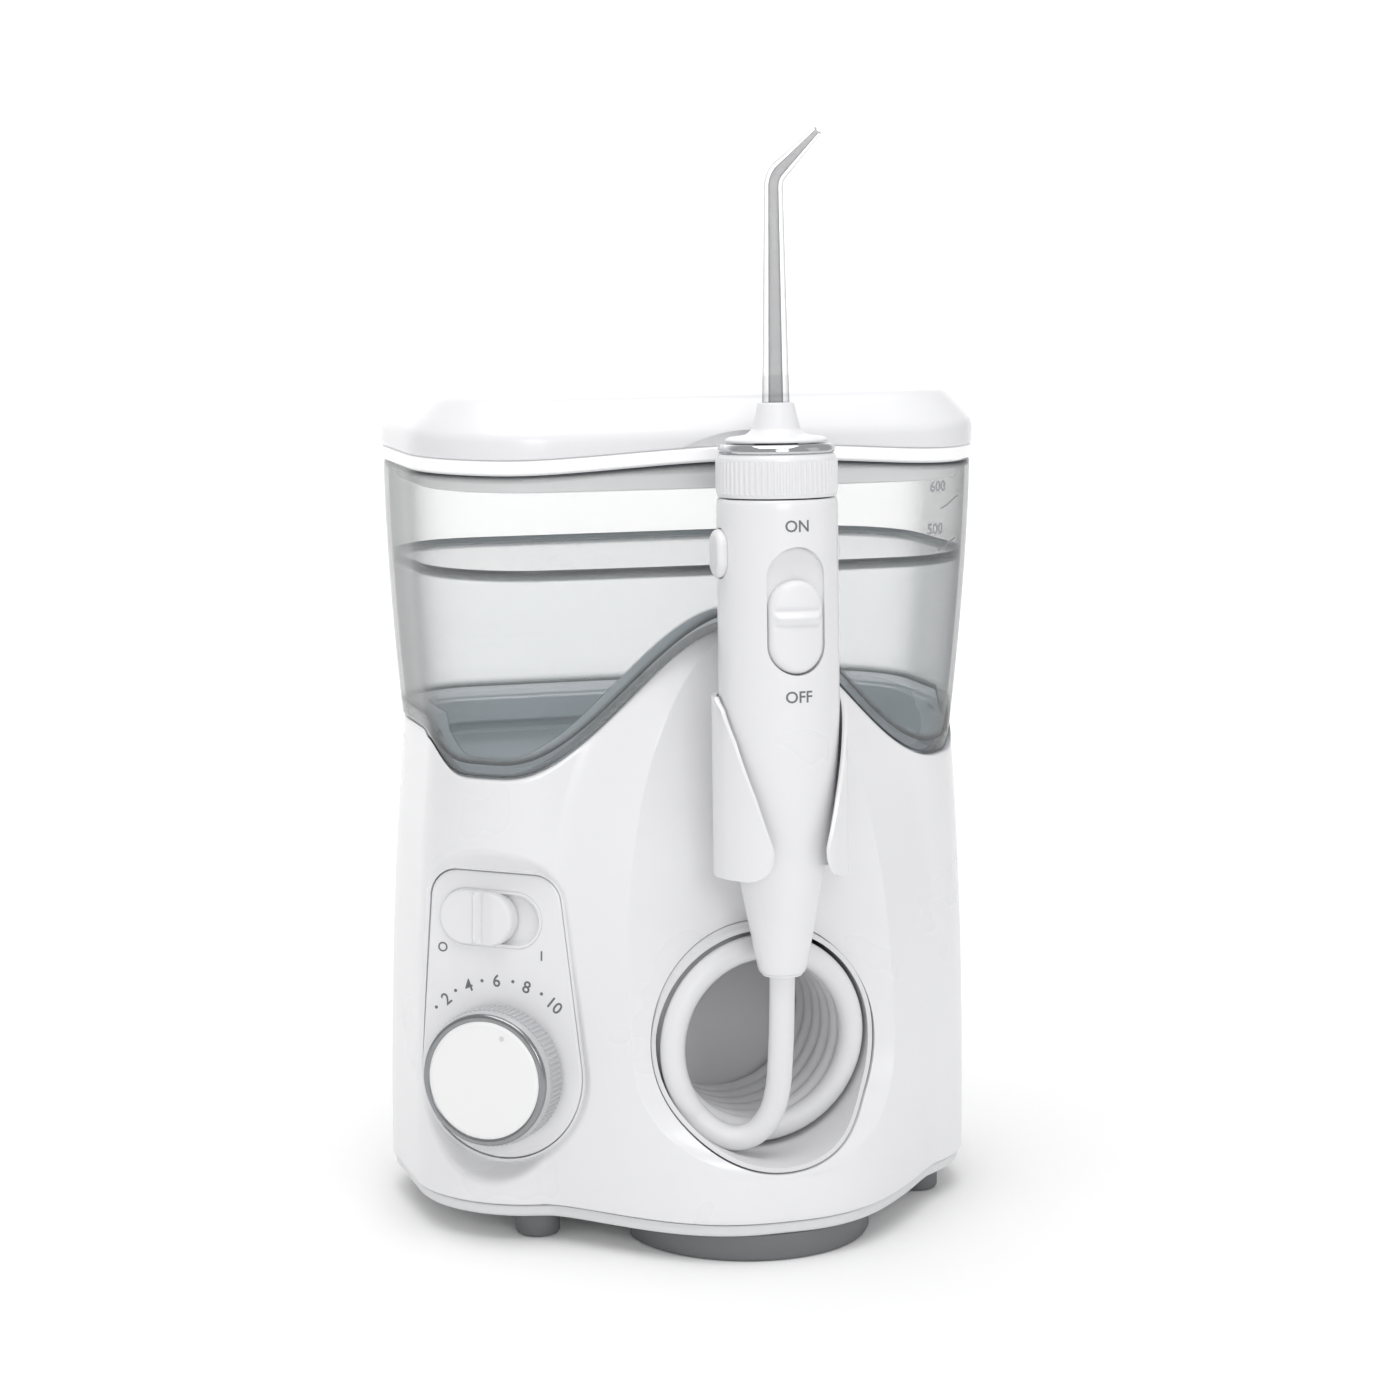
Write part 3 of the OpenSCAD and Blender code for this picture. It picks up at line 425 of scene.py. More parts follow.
def flattened(points, behind=0.0):
    """Presses the lobe flat round the control panel, with a soft rim."""
    local = moved(points, panel_place.inverted())
    over = depth_outside(local[:, :2], rounded_outline(panel_discs, 0.9))
    limit = np.maximum(0, over) * 1.3 - behind
    near = (over < 14) & (local[:, 2] > -3 - behind) & (local[:, 2] < 16)
    h, soft = local[:, 2], 1.2
    mix = np.clip(0.5 + 0.5 * (limit - h) / soft, 0, 1)
    lower = limit * (1 - mix) + h * mix - soft * mix * (1 - mix)
    local[:, 2] = np.where(near, lower, h)
    return moved(local, panel_place)


def prism(discs, grow, low, high, matrix):
    edge = rounded_outline(discs, grow)
    rings = [np.column_stack([edge, np.full(len(edge), z)]) for z in (low, high)]
    points, faces = skin(rings)
    return made("cutter", moved(points, matrix), faces, None, None)


def rod(place, direction, radius, length, steps=96):
    spin = Vector(direction).to_track_quat("Z", "Y").to_matrix()
    a = np.linspace(0, 2 * np.pi, steps, endpoint=False)
    ring = np.stack([radius * np.cos(a), radius * np.sin(a), 0 * a], 1)
    points, faces = skin([ring, ring + [0, 0, length]])
    return made("cutter", points @ np.array(spin).T + place, faces, None, None)


def carved(piece, *cutters):
    """Cuts closed blocks out of a piece and shades it again."""
    for block in cutters:
        step = piece.modifiers.new("cut", "BOOLEAN")
        step.operation, step.solver, step.object = "DIFFERENCE", "EXACT", block
    bpy.context.view_layer.update()
    result = bpy.data.meshes.new_from_object(piece.evaluated_get(bpy.context.evaluated_depsgraph_get()))
    piece.modifiers.clear()
    piece.data = result
    for block in cutters:
        bpy.data.objects.remove(block)
    result.shade_smooth()
    result.set_sharp_from_angle(angle=math.radians(30))
    return piece


shell_cols = columns([84, 60, 34, 22, 5, 12, 12, 12, 5, 84])
top_edge = wave_ring(shell_cols, 0.0)
inner_heights = (deck_z, 92, 78, 64, 50, 40, 30, 24, 20, 14, seam_z)
rings = [housing_ring(shell_cols, z, wall) for z in inner_heights]
rings += [housing_ring(shell_cols, seam_z, 0.5), housing_ring(shell_cols, seam_z + 0.15, 0.15)]
for t in np.r_[0.004, 0.012, np.linspace(0.02, 0.988, 176)]:
    rings.append(housing_ring(shell_cols, seam_z + (top_edge[:, 2] - seam_z) * t, 0.0))
for inset, drop in ((0.0, 0.5), (0.12, 0.2), (0.35, 0.05), (0.8, 0.0)):
    rings.append(wave_ring(shell_cols, inset, drop))
ledge = wave_ring(shell_cols, 0.8)
well_top = well_ring(shell_cols, 0.0, 6.4, 0.6)
well_top[:, 2] = ledge[:, 2]
rings += [well_top, well_ring(shell_cols, deck_z + deck_h, 6.4, 0.6)]
points, faces = skin(rings)
split = len(shell_cols[0]) * len(inner_heights)
points = np.vstack([flattened(points[:split], 5.0), flattened(points[split:])])
housing = made("housing", points, faces, white_shell, "base", "base_housing", angle=30)
slot_at = (-2.8, 34.6)
carved(housing,
       rod((centre_x, cavity_back_y + 3, cavity_z), (0, -1, 0), cavity_r, 90),
       prism(panel_discs, 0.22, -2.0, 14, panel_place),
       prism([(slot_at[0] - 6, slot_at[1], 3), (slot_at[0] + 6, slot_at[1], 3)], 0, -8, 14, panel_place),
       rod(moved([(0, 0, -20)], panel_place)[0], panel_place.to_3x3() @ Vector((0, 0, 1)), 4, 30),
       rod((40, back_y - 20, 20), (0, 1, 0), 5, 30),
       rod((30, front_y + 47, deck_z - 6), (0, 0, 1), 7, 12))

# ---------------------------------------------------------------- base plate and feet
# A plate of off-white plastic closes the housing from below on four screws. The flosser stands on
# a half-moon foot of soft grey rubber under its front bulge and on four round ones at its corners.
foot_h, plate_gap = 6.0, 0.4
plate_cols = columns([30, 40, 24, 12, 4, 10, 10, 10, 4, 12])


def skirt(inset, z):
    x, y = plan(plate_cols, inset, 0.0, bulge_out, 47.1, niche_half, 0.0)
    return np.column_stack([x, y, np.full(len(x), z)])


plate_rings = [skirt(i, z) for i, z in (
    (3.2, foot_h), (1.6, foot_h + 0.1), (1.1, foot_h + 0.5), (0.9, foot_h + 1.0),
    (0.9, seam_z - plate_gap - 0.25), (1.1, seam_z - plate_gap))]
made("base_plate", *skin(plate_rings), moulded("plate_abs", (0.74, 0.745, 0.755), rough=0.4),
     "base", "bottom_cover")

grey_rubber = moulded("grey_rubber", (0.17, 0.175, 0.18), rough=0.55, peel=0.35, drift=0.10,
                      peel_scale=350.0, specular=0.3)


def disc_foot(name, place, radius, *nodes, cut_y=None):
    a = np.linspace(0, 2 * np.pi, 96, endpoint=False)
    rings = []
    for shrink, z in ((1.2, 0), (0.4, 0.25), (0, 0.9), (0, foot_h - 0.2), (0.2, foot_h)):
        x, y = place[0] + (radius - shrink) * np.cos(a), place[1] + (radius - shrink) * np.sin(a)
        if cut_y is not None:
            y = np.minimum(y, cut_y - shrink)
        rings.append(np.stack([x, y, np.full(96, float(z))], 1))
    return made(name, *skin(rings), grey_rubber, "base", *nodes)


disc_foot("front_foot_pad", (centre_x, front_y - 1), 28, "front_foot", cut_y=front_y - 3)
corners = [(-42, front_y + 8), (52, front_y + 14), (-50, back_y - 22), (50, back_y - 22)]
feet = [disc_foot(f"corner_foot_{i}", place, 5) for i, place in enumerate(corners)]
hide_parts("corner_feet")

# ---------------------------------------------------------------- hose cavity
# A grey cup lines the round cavity that the hose is stored in. Its rim stands a little proud of the
# niche, and the hose's back end is pushed on a barbed fitting in its floor.
liner_t = 1.2


def lathe(profile, steps=96):
    """Points and faces of a closed profile of (radius, z), turned about z."""
    a = np.linspace(0, 2 * np.pi, steps, endpoint=False)
    rings = [np.stack([r * np.cos(a), r * np.sin(a), np.full(steps, float(z))], 1) for r, z in profile]
    if min(profile[0][0], profile[-1][0]) > 0:
        return skin(rings + [rings[0]], close=False)
    return skin([ring for ring, (r, _) in zip(rings, profile) if r > 0])


def rounded(profile, radius, steps=4):
    """A closed profile with each inner corner rounded, as far as its sides allow."""
    p = np.asarray(profile, float)
    out = []
    for i in range(len(p)):
        a, b, c = p[i - 1], p[i], p[(i + 1) % len(p)]
        la, lc = np.linalg.norm(a - b), np.linalg.norm(c - b)
        r = min(radius, 0.45 * la, 0.45 * lc)
        if b[0] <= 0.01 or r < 0.02:
            out.append(b)
            continue
        s, e = b + (a - b) / la * r, b + (c - b) / lc * r
        for t in np.linspace(0, 1, steps):
            out.append((1 - t) ** 2 * s + 2 * t * (1 - t) * b + t**2 * e)
    return np.array(out)


def mouth_y(x, z):
    """How far forward the cup reaches: its rim, or the housing's skin where that stands further out."""
    skin_y = []
    for px, pz in zip(x, z):
        ring = housing_ring(shell_cols, pz, 0.0)
        front = ring[shell_cols[0] <= 2]
        skin_y.append(np.interp(px, front[:, 0], front[:, 1]))
    return np.minimum(cavity_front_y, np.array(skin_y) + 0.6)


a = np.linspace(0, 2 * np.pi, 144, endpoint=False)
mouth = mouth_y(centre_x + cavity_r * np.cos(a), cavity_z + cavity_r * np.sin(a))
cup_rings = []
cup_r = cavity_r - 0.2
for r, back, front in ((0.05, 1.6, 0), (10, 1.6, 0), (cup_r - 0.5, 1.6, 0), (cup_r - 0.1, 1.3, 0),
                       (cup_r, 0.8, 0), (cup_r, 0, 0.7), (cup_r, 0, 0.97), (cup_r - 0.2, 0, 1),
                       (cup_r - liner_t, 0, 1), (cup_r - liner_t, 0, 0.5), (cup_r - liner_t, -0.8, 0),
                       (cup_r - 0.3 - liner_t, -0.3, 0), (cup_r - 0.9 - liner_t, 0, 0), (10, 0, 0),
                       (0.05, 0, 0)):
    y = cavity_back_y + back + (mouth - cavity_back_y) * front
    cup_rings.append(np.stack([centre_x + r * np.cos(a), y, cavity_z + r * np.sin(a)], 1))
cup_grey = moulded("cup_grey", (0.74, 0.74, 0.755), rough=0.5, peel=0.06)
made("cavity_cup", *skin(cup_rings), cup_grey, "base", "cavity_liner")

# ---------------------------------------------------------------- control panel
# A separate white plate is let into the left lobe. The numbers of the pressure steps, the dots
# between them and the switch's two signs are pad-printed on it in grey.
plate_t = 2.0
slot_w, slot_h = 24.8, 13.0


def evenly(outline, count):
    """A closed outline's points, spaced evenly round it."""
    closed = np.vstack([outline, outline[:1]])
    s = distance_along(closed)
    at = np.linspace(0, s[-1], count, endpoint=False)
    return np.column_stack([np.interp(at, s, closed[:, 0]), np.interp(at, s, closed[:, 1])])


def slab_rings(discs, levels):
    """Rings over a stack of (grow, height) outlines."""
    edges = [rounded_outline(discs, grow) for grow, _ in levels]
    count = max(len(edge) for edge in edges)
    return [np.column_stack([evenly(edge, count), np.full(count, z)]) for edge, (_, z) in zip(edges, levels)]


plate_rings = slab_rings(panel_discs, [(0, -plate_t), (0, -0.55), (-0.12, -0.2), (-0.4, -0.02), (-0.75, 0)])
panel = made("panel_plate", *skin(plate_rings), white_shell, "base", "control_panel", place=panel_place)
slot_discs = [(slot_at[0] + k * (slot_w - slot_h) / 2, slot_at[1], slot_h / 2) for k in (-1, 1)]
carved(panel, prism(slot_discs, 0, -5, 5, panel_place),
       rod(moved([(0, 0, -6)], panel_place)[0], panel_place.to_3x3() @ Vector((0, 0, 1)), 4, 12))
white_satin = moulded("white_satin", (0.80, 0.80, 0.815), rough=0.38)
rim_rings = slab_rings(slot_discs, [(-0.05, -plate_t - 0.1), (-0.05, 0.05), (-0.25, 0.2), (-0.75, 0.12),
                                    (-0.9, -0.3), (-0.9, -plate_t - 0.1)])
made("switch_slot_rim", *skin(rim_rings + rim_rings[:1], close=False), white_satin, "base", place=panel_place)

floor_edge = rounded_outline(slot_discs, -0.85)
floor_rings = [np.column_stack([floor_edge, np.full(len(floor_edge), -plate_t - 0.3)])]
for k in (1.0, 0.95, 0.88, 0.78, 0.6, 0.35, 0.05):
    xy = slot_at + (floor_edge - slot_at) * k
    floor_rings.append(np.column_stack([xy, np.full(len(xy), -1.6 + 0.45 * smooth((k - 0.85) / 0.15))]))
made("switch_slot_floor", *skin(floor_rings), white_satin, "base", place=panel_place)

print_grey = moulded("print_grey", (0.16, 0.165, 0.175), rough=0.5, peel=0.0, drift=0.0)


def written(name, text, size, put, thick=0.04):
    """Generic figures as a thin printed mesh. put() places points (x, y) and a height."""
    data = bpy.data.curves.new(name, "FONT")
    data.body, data.size, data.align_x, data.align_y = text, size, "CENTER", "CENTER"
    data.resolution_u = 3
    data.offset = 0.012 * size
    holder = bpy.data.objects.new(name, data)
    bpy.context.collection.objects.link(holder)
    bpy.context.view_layer.update()
    flat = bpy.data.meshes.new_from_object(holder.evaluated_get(bpy.context.evaluated_depsgraph_get()))
    bpy.data.objects.remove(holder)
    work = bmesh.new()
    work.from_mesh(flat)
    bmesh.ops.remove_doubles(work, verts=work.verts, dist=1e-4)
    bmesh.ops.triangulate(work, faces=work.faces)
    bmesh.ops.subdivide_edges(work, edges=[e for e in work.edges if e.calc_length() > size * 0.3], cuts=1)
    bmesh.ops.triangulate(work, faces=work.faces)
    xy = np.array([v.co[:2] for v in work.verts])
    faces = [[v.index for v in f.verts] for f in work.faces]
    work.free()
    top, low = put(xy, thick), put(xy, -thick)
    n = len(xy)
    edges = {(a, b) for f in faces for a, b in zip(f, f[1:] + f[:1])}
    walls = [[a, a + n, b + n, b] for a, b in sorted(edges) if (b, a) not in edges]
    return np.vstack([top, low]), faces + [[i + n for i in f[::-1]] for f in faces] + walls


def printed(name, parts, material, body):
    """Several small shapes of one finish, joined into one piece."""
    points, faces, start = [], [], 0
    for p, f in parts:
        points.append(p)
        faces += [[i + start for i in face] for face in f]
        start += len(p)
    return made(name, np.vstack(points), faces, material, body)


def on_plate(at, turn_deg=0.0):
    c, s = math.cos(math.radians(turn_deg)), math.sin(math.radians(turn_deg))

    def put(xy, height):
        x, y = at[0] + xy[:, 0] * c - xy[:, 1] * s, at[1] + xy[:, 0] * s + xy[:, 1] * c
        return moved(np.column_stack([x, y, np.full(len(x), height)]), panel_place)
    return put


def flat_shape(edge, put, thick=0.04):
    """A thin flat shape inside an edge of points (x, y)."""
    n = len(edge)
    walls = [[i, i + n, (i + 1) % n + n, (i + 1) % n] for i in range(n)]
    faces = [list(range(n)), list(range(n, 2 * n))[::-1]] + walls
    return np.vstack([put(edge, thick), put(edge, -thick)]), faces


def dot_at(at, r):
    a = np.linspace(0, 2 * np.pi, 20, endpoint=False)
    return flat_shape(np.stack([r * np.cos(a), r * np.sin(a)], 1), on_plate(at))


def round_dial(radius, angle):
    """A place on the panel at a clockwise angle from the top of the dial."""
    return radius * math.sin(math.radians(angle)), radius * math.cos(math.radians(angle))


figure_r, dot_r = 20.5, 20.9
marks = [written("figure", text, 3.9, on_plate(round_dial(figure_r, angle), -angle))
         for text, angle in (("2", -41.4), ("4", -23.4), ("6", -3.8), ("8", 16.8), ("10", 38))]
marks += [dot_at(round_dial(dot_r, angle), 0.38) for angle in (-50.4, -33.0, -13.6, 7.2, 27.3)]
marks.append(written("sign", "O", 3.1, on_plate((-14.6, 27.1))))
marks.append(written("sign", "I", 3.1, on_plate((9.5, 27.0))))
printed("panel_print", marks, print_grey, "base")

# ---------------------------------------------------------------- ribs
# Two parts are turned by hand, the pressure dial and the collar under the jet tip. Each has a ring
# of fine ribs moulded round its side.


def rib_tree():
    """Ribs stood round a circle: named sizes in, one mesh out."""
    tree = bpy.data.node_groups.new("rib_ring", "GeometryNodeTree")
    face = tree.interface
    face.new_socket("Ribs", in_out="INPUT", socket_type="NodeSocketInt").default_value = 48
    for name in ("Ring radius", "Rib radius", "Rib height"):
        face.new_socket(name, in_out="INPUT", socket_type="NodeSocketFloat").default_value = 0.01
    face.new_socket("Finish", in_out="INPUT", socket_type="NodeSocketMaterial")
    face.new_socket("Geometry", in_out="OUTPUT", socket_type="NodeSocketGeometry")
    nodes, link = tree.nodes, tree.links.new
    given, out = nodes.new("NodeGroupInput"), nodes.new("NodeGroupOutput")
    circle, rib, stood = (nodes.new(n) for n in (
        "GeometryNodeMeshCircle", "GeometryNodeMeshCylinder", "GeometryNodeInstanceOnPoints"))
    rib.inputs["Vertices"].default_value = 10
    link(given.outputs["Ribs"], circle.inputs["Vertices"])
    link(given.outputs["Ring radius"], circle.inputs["Radius"])
    link(given.outputs["Rib radius"], rib.inputs["Radius"])
    link(given.outputs["Rib height"], rib.inputs["Depth"])
    link(circle.outputs["Mesh"], stood.inputs["Points"])
    link(rib.outputs["Mesh"], stood.inputs["Instance"])
    real, paint = nodes.new("GeometryNodeRealizeInstances"), nodes.new("GeometryNodeSetMaterial")
    link(stood.outputs["Instances"], real.inputs["Geometry"])
    link(real.outputs["Geometry"], paint.inputs["Geometry"])
    link(given.outputs["Finish"], paint.inputs["Material"])
    link(paint.outputs["Geometry"], out.inputs["Geometry"])
    return tree


ribs = rib_tree()


def rib_ring(name, count, ring_r, rib_r, height, place, finish, body):
    """A ring of ribs as a plain mesh on a body."""
    piece = bpy.data.objects.new(name, bpy.data.meshes.new(name))
    bpy.context.collection.objects.link(piece)
    step = piece.modifiers.new("ribs", "NODES")
    step.node_group = ribs
    sizes = {"Ribs": count, "Ring radius": ring_r * mm, "Rib radius": rib_r * mm, "Rib height": height * mm,
             "Finish": finish}
    for item in ribs.interface.items_tree:
        if item.in_out == "INPUT":
            step[item.identifier] = sizes[item.name]
    bpy.context.view_layer.update()
    mesh = bpy.data.meshes.new_from_object(piece.evaluated_get(bpy.context.evaluated_depsgraph_get()))
    piece.modifiers.clear()
    piece.data = mesh
    scaled = place.copy()
    scaled.translation = place.translation * mm
    mesh.transform(scaled)
    mesh.shade_smooth()
    mesh.set_sharp_from_angle(angle=math.radians(50))
    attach(piece, body)


# ---------------------------------------------------------------- pressure dial
# A silver-grey knob with a ribbed side, a glossy white cap snapped into its face and a faint
# pointer mark. It turns the regulator's steel spindle behind the panel.
dial_r, dial_h = 15.6, 9.6
dial_silver = moulded("dial_silver", (0.56, 0.565, 0.58), rough=0.34, peel=0.03, metallic=0.3)
knob = rounded([(0, 0.6), (dial_r - 1.0, 0.6), (dial_r - 0.35, 1.4), (dial_r - 0.35, dial_h - 2.2),
                (dial_r - 0.9, dial_h - 1.0), (dial_r - 1.5, dial_h - 0.25), (0, dial_h - 0.25)], 0.35)
made("dial_knob", *lathe(knob, 144), dial_silver, "dial", "pressure_dial", place=panel_place)
rib_ring("dial_ribs", 84, dial_r - 0.42, 0.36, dial_h - 4.0,
         panel_place @ Matrix.Translation((0, 0, 0.9 + (dial_h - 3.4) / 2)), dial_silver, "dial")
ring_metal = moulded("ring_metal", (0.30, 0.305, 0.315), rough=0.22, peel=0.0, metallic=0.9)
bezel = rounded([(dial_r - 2.4, dial_h - 1.2), (dial_r - 0.8, dial_h - 1.2), (dial_r - 0.75, dial_h - 0.5),
                 (dial_r - 1.1, dial_h - 0.05), (dial_r - 1.7, dial_h + 0.05), (dial_r - 2.4, dial_h - 0.1)],
                0.25)
made("dial_bezel", *lathe(bezel, 144), ring_metal, "dial", "dial_ring", place=panel_place)
cap_white = moulded("cap_white", (0.86, 0.86, 0.865), rough=0.18, coat=0.5, peel=0.01)
cap = rounded([(0, dial_h - 1.0), (dial_r - 2.3, dial_h - 1.0), (dial_r - 2.3, dial_h - 0.1),
               (dial_r - 3.2, dial_h + 0.25), (0, dial_h + 0.4)], 0.3)
made("dial_face", *lathe(cap, 144), cap_white, "dial", "dial_cap", place=panel_place)
points, faces = dot_at(round_dial(10.8, 24), 0.55)
made("dial_pointer", points + np.array(panel_place)[:3, 2] * (dial_h + 0.33), faces,
     moulded("pointer_grey", (0.66, 0.665, 0.675), rough=0.5), "dial")

# ---------------------------------------------------------------- power switch
# A white slider in an obround slot: a low left half, a line across it, and a raised right half that
# the thumb pushes towards the I or the O.
slider_w = 18.2
slider_x = slot_at[0] - (slot_w - slider_w) / 2 + 0.2


def rounding(t):
    """How far up a rounded edge is: 0 at its foot, 1 where it meets the top."""
    return np.sqrt(1 - (1 - np.clip(t, 0, 1)) ** 2)


def pillow(discs, heights, base, steps):
    """A moulded pad: rings shrink to the middle of an obround, heights() gives its top."""
    edge = evenly(rounded_outline(discs, 0), 128)
    middle = edge.mean(0)
    rings = [np.column_stack([edge, np.full(128, base)])]
    for k in np.r_[1.0, 0.995, 0.985, 0.97, np.linspace(0.94, 0.02, steps)]:
        xy = middle + (edge - middle) * k
        rings.append(np.column_stack([xy, heights(xy, k)]))
    return skin(rings)


def switch_top(xy, k):
    x = xy[:, 0] - slider_x
    rise = 1.35 + 1.25 * smooth((x - 0.2) / 5.0)
    ridge = 0.9 * np.exp(-((x + 0.2) / 0.55) ** 2)
    groove = -0.5 * np.exp(-((x - 0.95) / 0.45) ** 2)
    detail = (ridge + groove) * np.clip((1 - k) / 0.12, 0, 1)
    return (rise + detail) * (0.45 + 0.55 * rounding((1 - k) / 0.09))


slider_half = slot_h / 2 - 0.35
slider_discs = [(slider_x + k * (slider_w / 2 - slider_half), slot_at[1], slider_half) for k in (-1, 1)]
made("switch_cap", *pillow(slider_discs, switch_top, -1.0, 70), white_satin, "switch_slider", "power_switch",
     angle=50, place=panel_place)

# ---------------------------------------------------------------- handle cradle
# Two thin white wings stand out from the niche on either side of the grip. Their front edges sweep
# from the sides at the top to near the middle below, and their lower corners are rounded.
grip_r, nose_r, taper_l, grip_l, lean = 13.1, 5.1, 62.0, 103.6, 2.6
handle_place = Matrix.Translation((centre_x, nose_y, nose_z)) @ Matrix.Rotation(math.radians(-lean), 4, "X")
wing_r, wing_t, wing_low, wing_high = 14.7, 1.1, 22.0, 61.0


def wing(side):
    """One curved wing: a strip of cylinder from the niche to its swept front edge."""
    outer, inner = [], []
    levels = np.r_[wing_low, wing_low + 0.4, np.linspace(wing_low + 1, wing_high - 0.4, 56), wing_high]
    for z in levels:
        reach = np.interp(z, [22, 29, 40, 52, 58.5, 61], [23.5, 26.8, 42, 62, 78, 92])
        reach = reach + 24 * (1 - rounding((z - wing_low) / 7.0))
        angles = np.radians(np.linspace(reach, 168, 40))
        for ring, r in ((outer, wing_r), (inner, wing_r - wing_t)):
            ring.append(np.stack([side * r * np.sin(angles), -r * np.cos(angles), np.full(40, z)], 1))
    stack = []
    for o, i in zip(outer, inner):
        tip = (o[0] + i[0]) / 2 + (o[0] - o[1]) / np.linalg.norm(o[0] - o[1]) * 0.45
        stack.append(np.vstack([tip, o, i[::-1]]))
    return skin(stack)


for side, name in ((-1, "cradle_wing_left"), (1, "cradle_wing_right")):
    piece = made(name, *wing(side), white_shell, "base", angle=40, place=handle_place)
    if side > 0:
        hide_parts("handle_cradle")

# ---------------------------------------------------------------- reservoir
# The tank is one clear, slightly smoked moulding. Its lower edge follows the housing's wave, its
# tub drops into the housing's well, and its moulded edges are painted dark, as painted shade for the
# light that they bend. Clear walls look thin, because they bend light, so the inner skin lies close
# behind the outer one.
deck_gap = 0.4
tank_cols = columns([34, 20, 34, 14, 6, 10, 20, 10, 6, 14])


def tank_ring(cols, z, inset):
    z = np.broadcast_to(z, len(cols[0])).astype(float)
    x, y = plan(cols, inset, 4.2 * (np.maximum(0, rim_z - z) / 64) ** 1.6)
    return np.stack([x, y, z], 1)


def lid_rise(x, y):
    return np.where(y < join_y, seam_rise * swell((x - centre_x) / 58), 0)


def lidded(cols, inset, z):
    """A ring of the tank's plan at a height that follows the lid's gentle wave."""
    p = tank_ring(cols, rim_z + 1, inset)
    p[:, 2] = z + lid_rise(p[:, 0], p[:, 1])
    return p


def clear_finish(name, colour, dark, alpha, edge_alpha, rim_alpha):
    """See-through plastic or water, darker and denser at thick edges and where it is seen edge-on. The dark
    at thick edges is partly its own tint and partly painted shade for the light that it bends.
    """
    material = bpy.data.materials.new(name)
    material.use_nodes = True
    tree = material.node_tree
    look = tree.nodes["Principled BSDF"]
    look.inputs["Roughness"].default_value = 0.06
    look.inputs["IOR"].default_value = 1.49
    look.inputs["Specular IOR Level"].default_value = 0.25
    thick = tree.nodes.new("ShaderNodeAttribute")
    thick.attribute_name = "thick"
    facing = tree.nodes.new("ShaderNodeLayerWeight")
    facing.inputs["Blend"].default_value = 0.5
    grazing = maths(tree, "POWER", facing.outputs["Facing"], 2.6)
    tint = tree.nodes.new("ShaderNodeMix")
    tint.data_type = "RGBA"
    tint.inputs["A"].default_value, tint.inputs["B"].default_value = (*colour, 1), (*dark, 1)
    tree.links.new(maths(tree, "MAXIMUM", thick.outputs["Fac"], grazing), tint.inputs["Factor"])
    tree.links.new(tint.outputs["Result"], look.inputs["Base Color"])
    rim = maths(tree, "MULTIPLY_ADD", grazing, rim_alpha, alpha)
    tree.links.new(maths(tree, "MULTIPLY_ADD", thick.outputs["Fac"], edge_alpha, rim, clamp=True),
                   look.inputs["Alpha"])
    return material


def thickened(piece, values):
    """Stores how thick a clear piece looks at each of its points, ring by ring: this sets its density and its
    painted edge shade.
    """
    layer = piece.data.attributes.new("thick", "FLOAT", "POINT")
    layer.data.foreach_set("value", np.concatenate(values).astype(np.float32))


clear_wall = 1.1
n_cols = len(tank_cols[0])
tub_z = deck_z + deck_h
low_edge = wave_ring(tank_cols, 0.0, -deck_gap, tank_ring)
inner_edge = wave_ring(tank_cols, clear_wall, -deck_gap - wall, tank_ring)
tub_top, inner_well = well_ring(tank_cols, low_edge[:, 2], 7.0), well_ring(tank_cols, inner_edge[:, 2], 9.6)
rings = [well_ring(tank_cols, tub_z + 0.6, 7.4), well_ring(tank_cols, tub_z + 1.0, 7.0), tub_top,
         wave_ring(tank_cols, 0.5, -deck_gap, tank_ring),
         wave_ring(tank_cols, 0.1, -deck_gap - 0.2, tank_ring)]
thick = [np.full(n_cols, value) for value in (-0.14, -0.14, -0.12, 0.75, 0.75)]
top = lidded(tank_cols, 0.0, rim_z - 0.4)
# Painted shade: the rows near the wave edge, just under the rim and at the inner wall's foot are drawn darker.
for t in np.r_[0.008, 0.016, 0.024, 0.032, 0.042, 0.055, np.linspace(0.07, 0.98, 33), 1.0]:
    row = tank_ring(tank_cols, low_edge[:, 2] + (top[:, 2] - low_edge[:, 2]) * t, 0.0)
    lift, below = row[:, 2] - low_edge[:, 2], top[:, 2] - row[:, 2]
    rings.append(row)
    thick.append(np.maximum(0.42 * smooth((wall + 1.2 - lift) / 1.2), 0.9 * np.exp(-((below / 0.55) ** 2))))
rings += [lidded(tank_cols, 0.3, rim_z), lidded(tank_cols, clear_wall - 0.3, rim_z)]
thick += [np.ones(n_cols), np.ones(n_cols)]
for t in np.r_[np.linspace(0, 0.96, 19), 0.97, 0.978, 0.986, 0.993, 1.0]:
    row = tank_ring(tank_cols, (rim_z - 0.5) * (1 - t) + inner_edge[:, 2] * t, clear_wall)
    rings.append(row)
    thick.append(np.exp(-(((row[:, 2] - inner_edge[:, 2]) / 1.3) ** 2)))
tub_faces = (len(rings) - 1) * n_cols
rings += [inner_well, well_ring(tank_cols, tub_z + 3.8, 9.6), well_ring(tank_cols, tub_z + 3.2, 10.2)]
thick += [np.full(n_cols, value) for value in (-0.1, -0.14, -0.14)]
smoke = clear_finish("smoke_clear", (0.34, 0.35, 0.35), (0.03, 0.035, 0.04), 0.12, 0.85, 0.8)
tank = made("tank", *skin(rings), smoke, "tank", "reservoir", angle=40)
thickened(tank, thick)

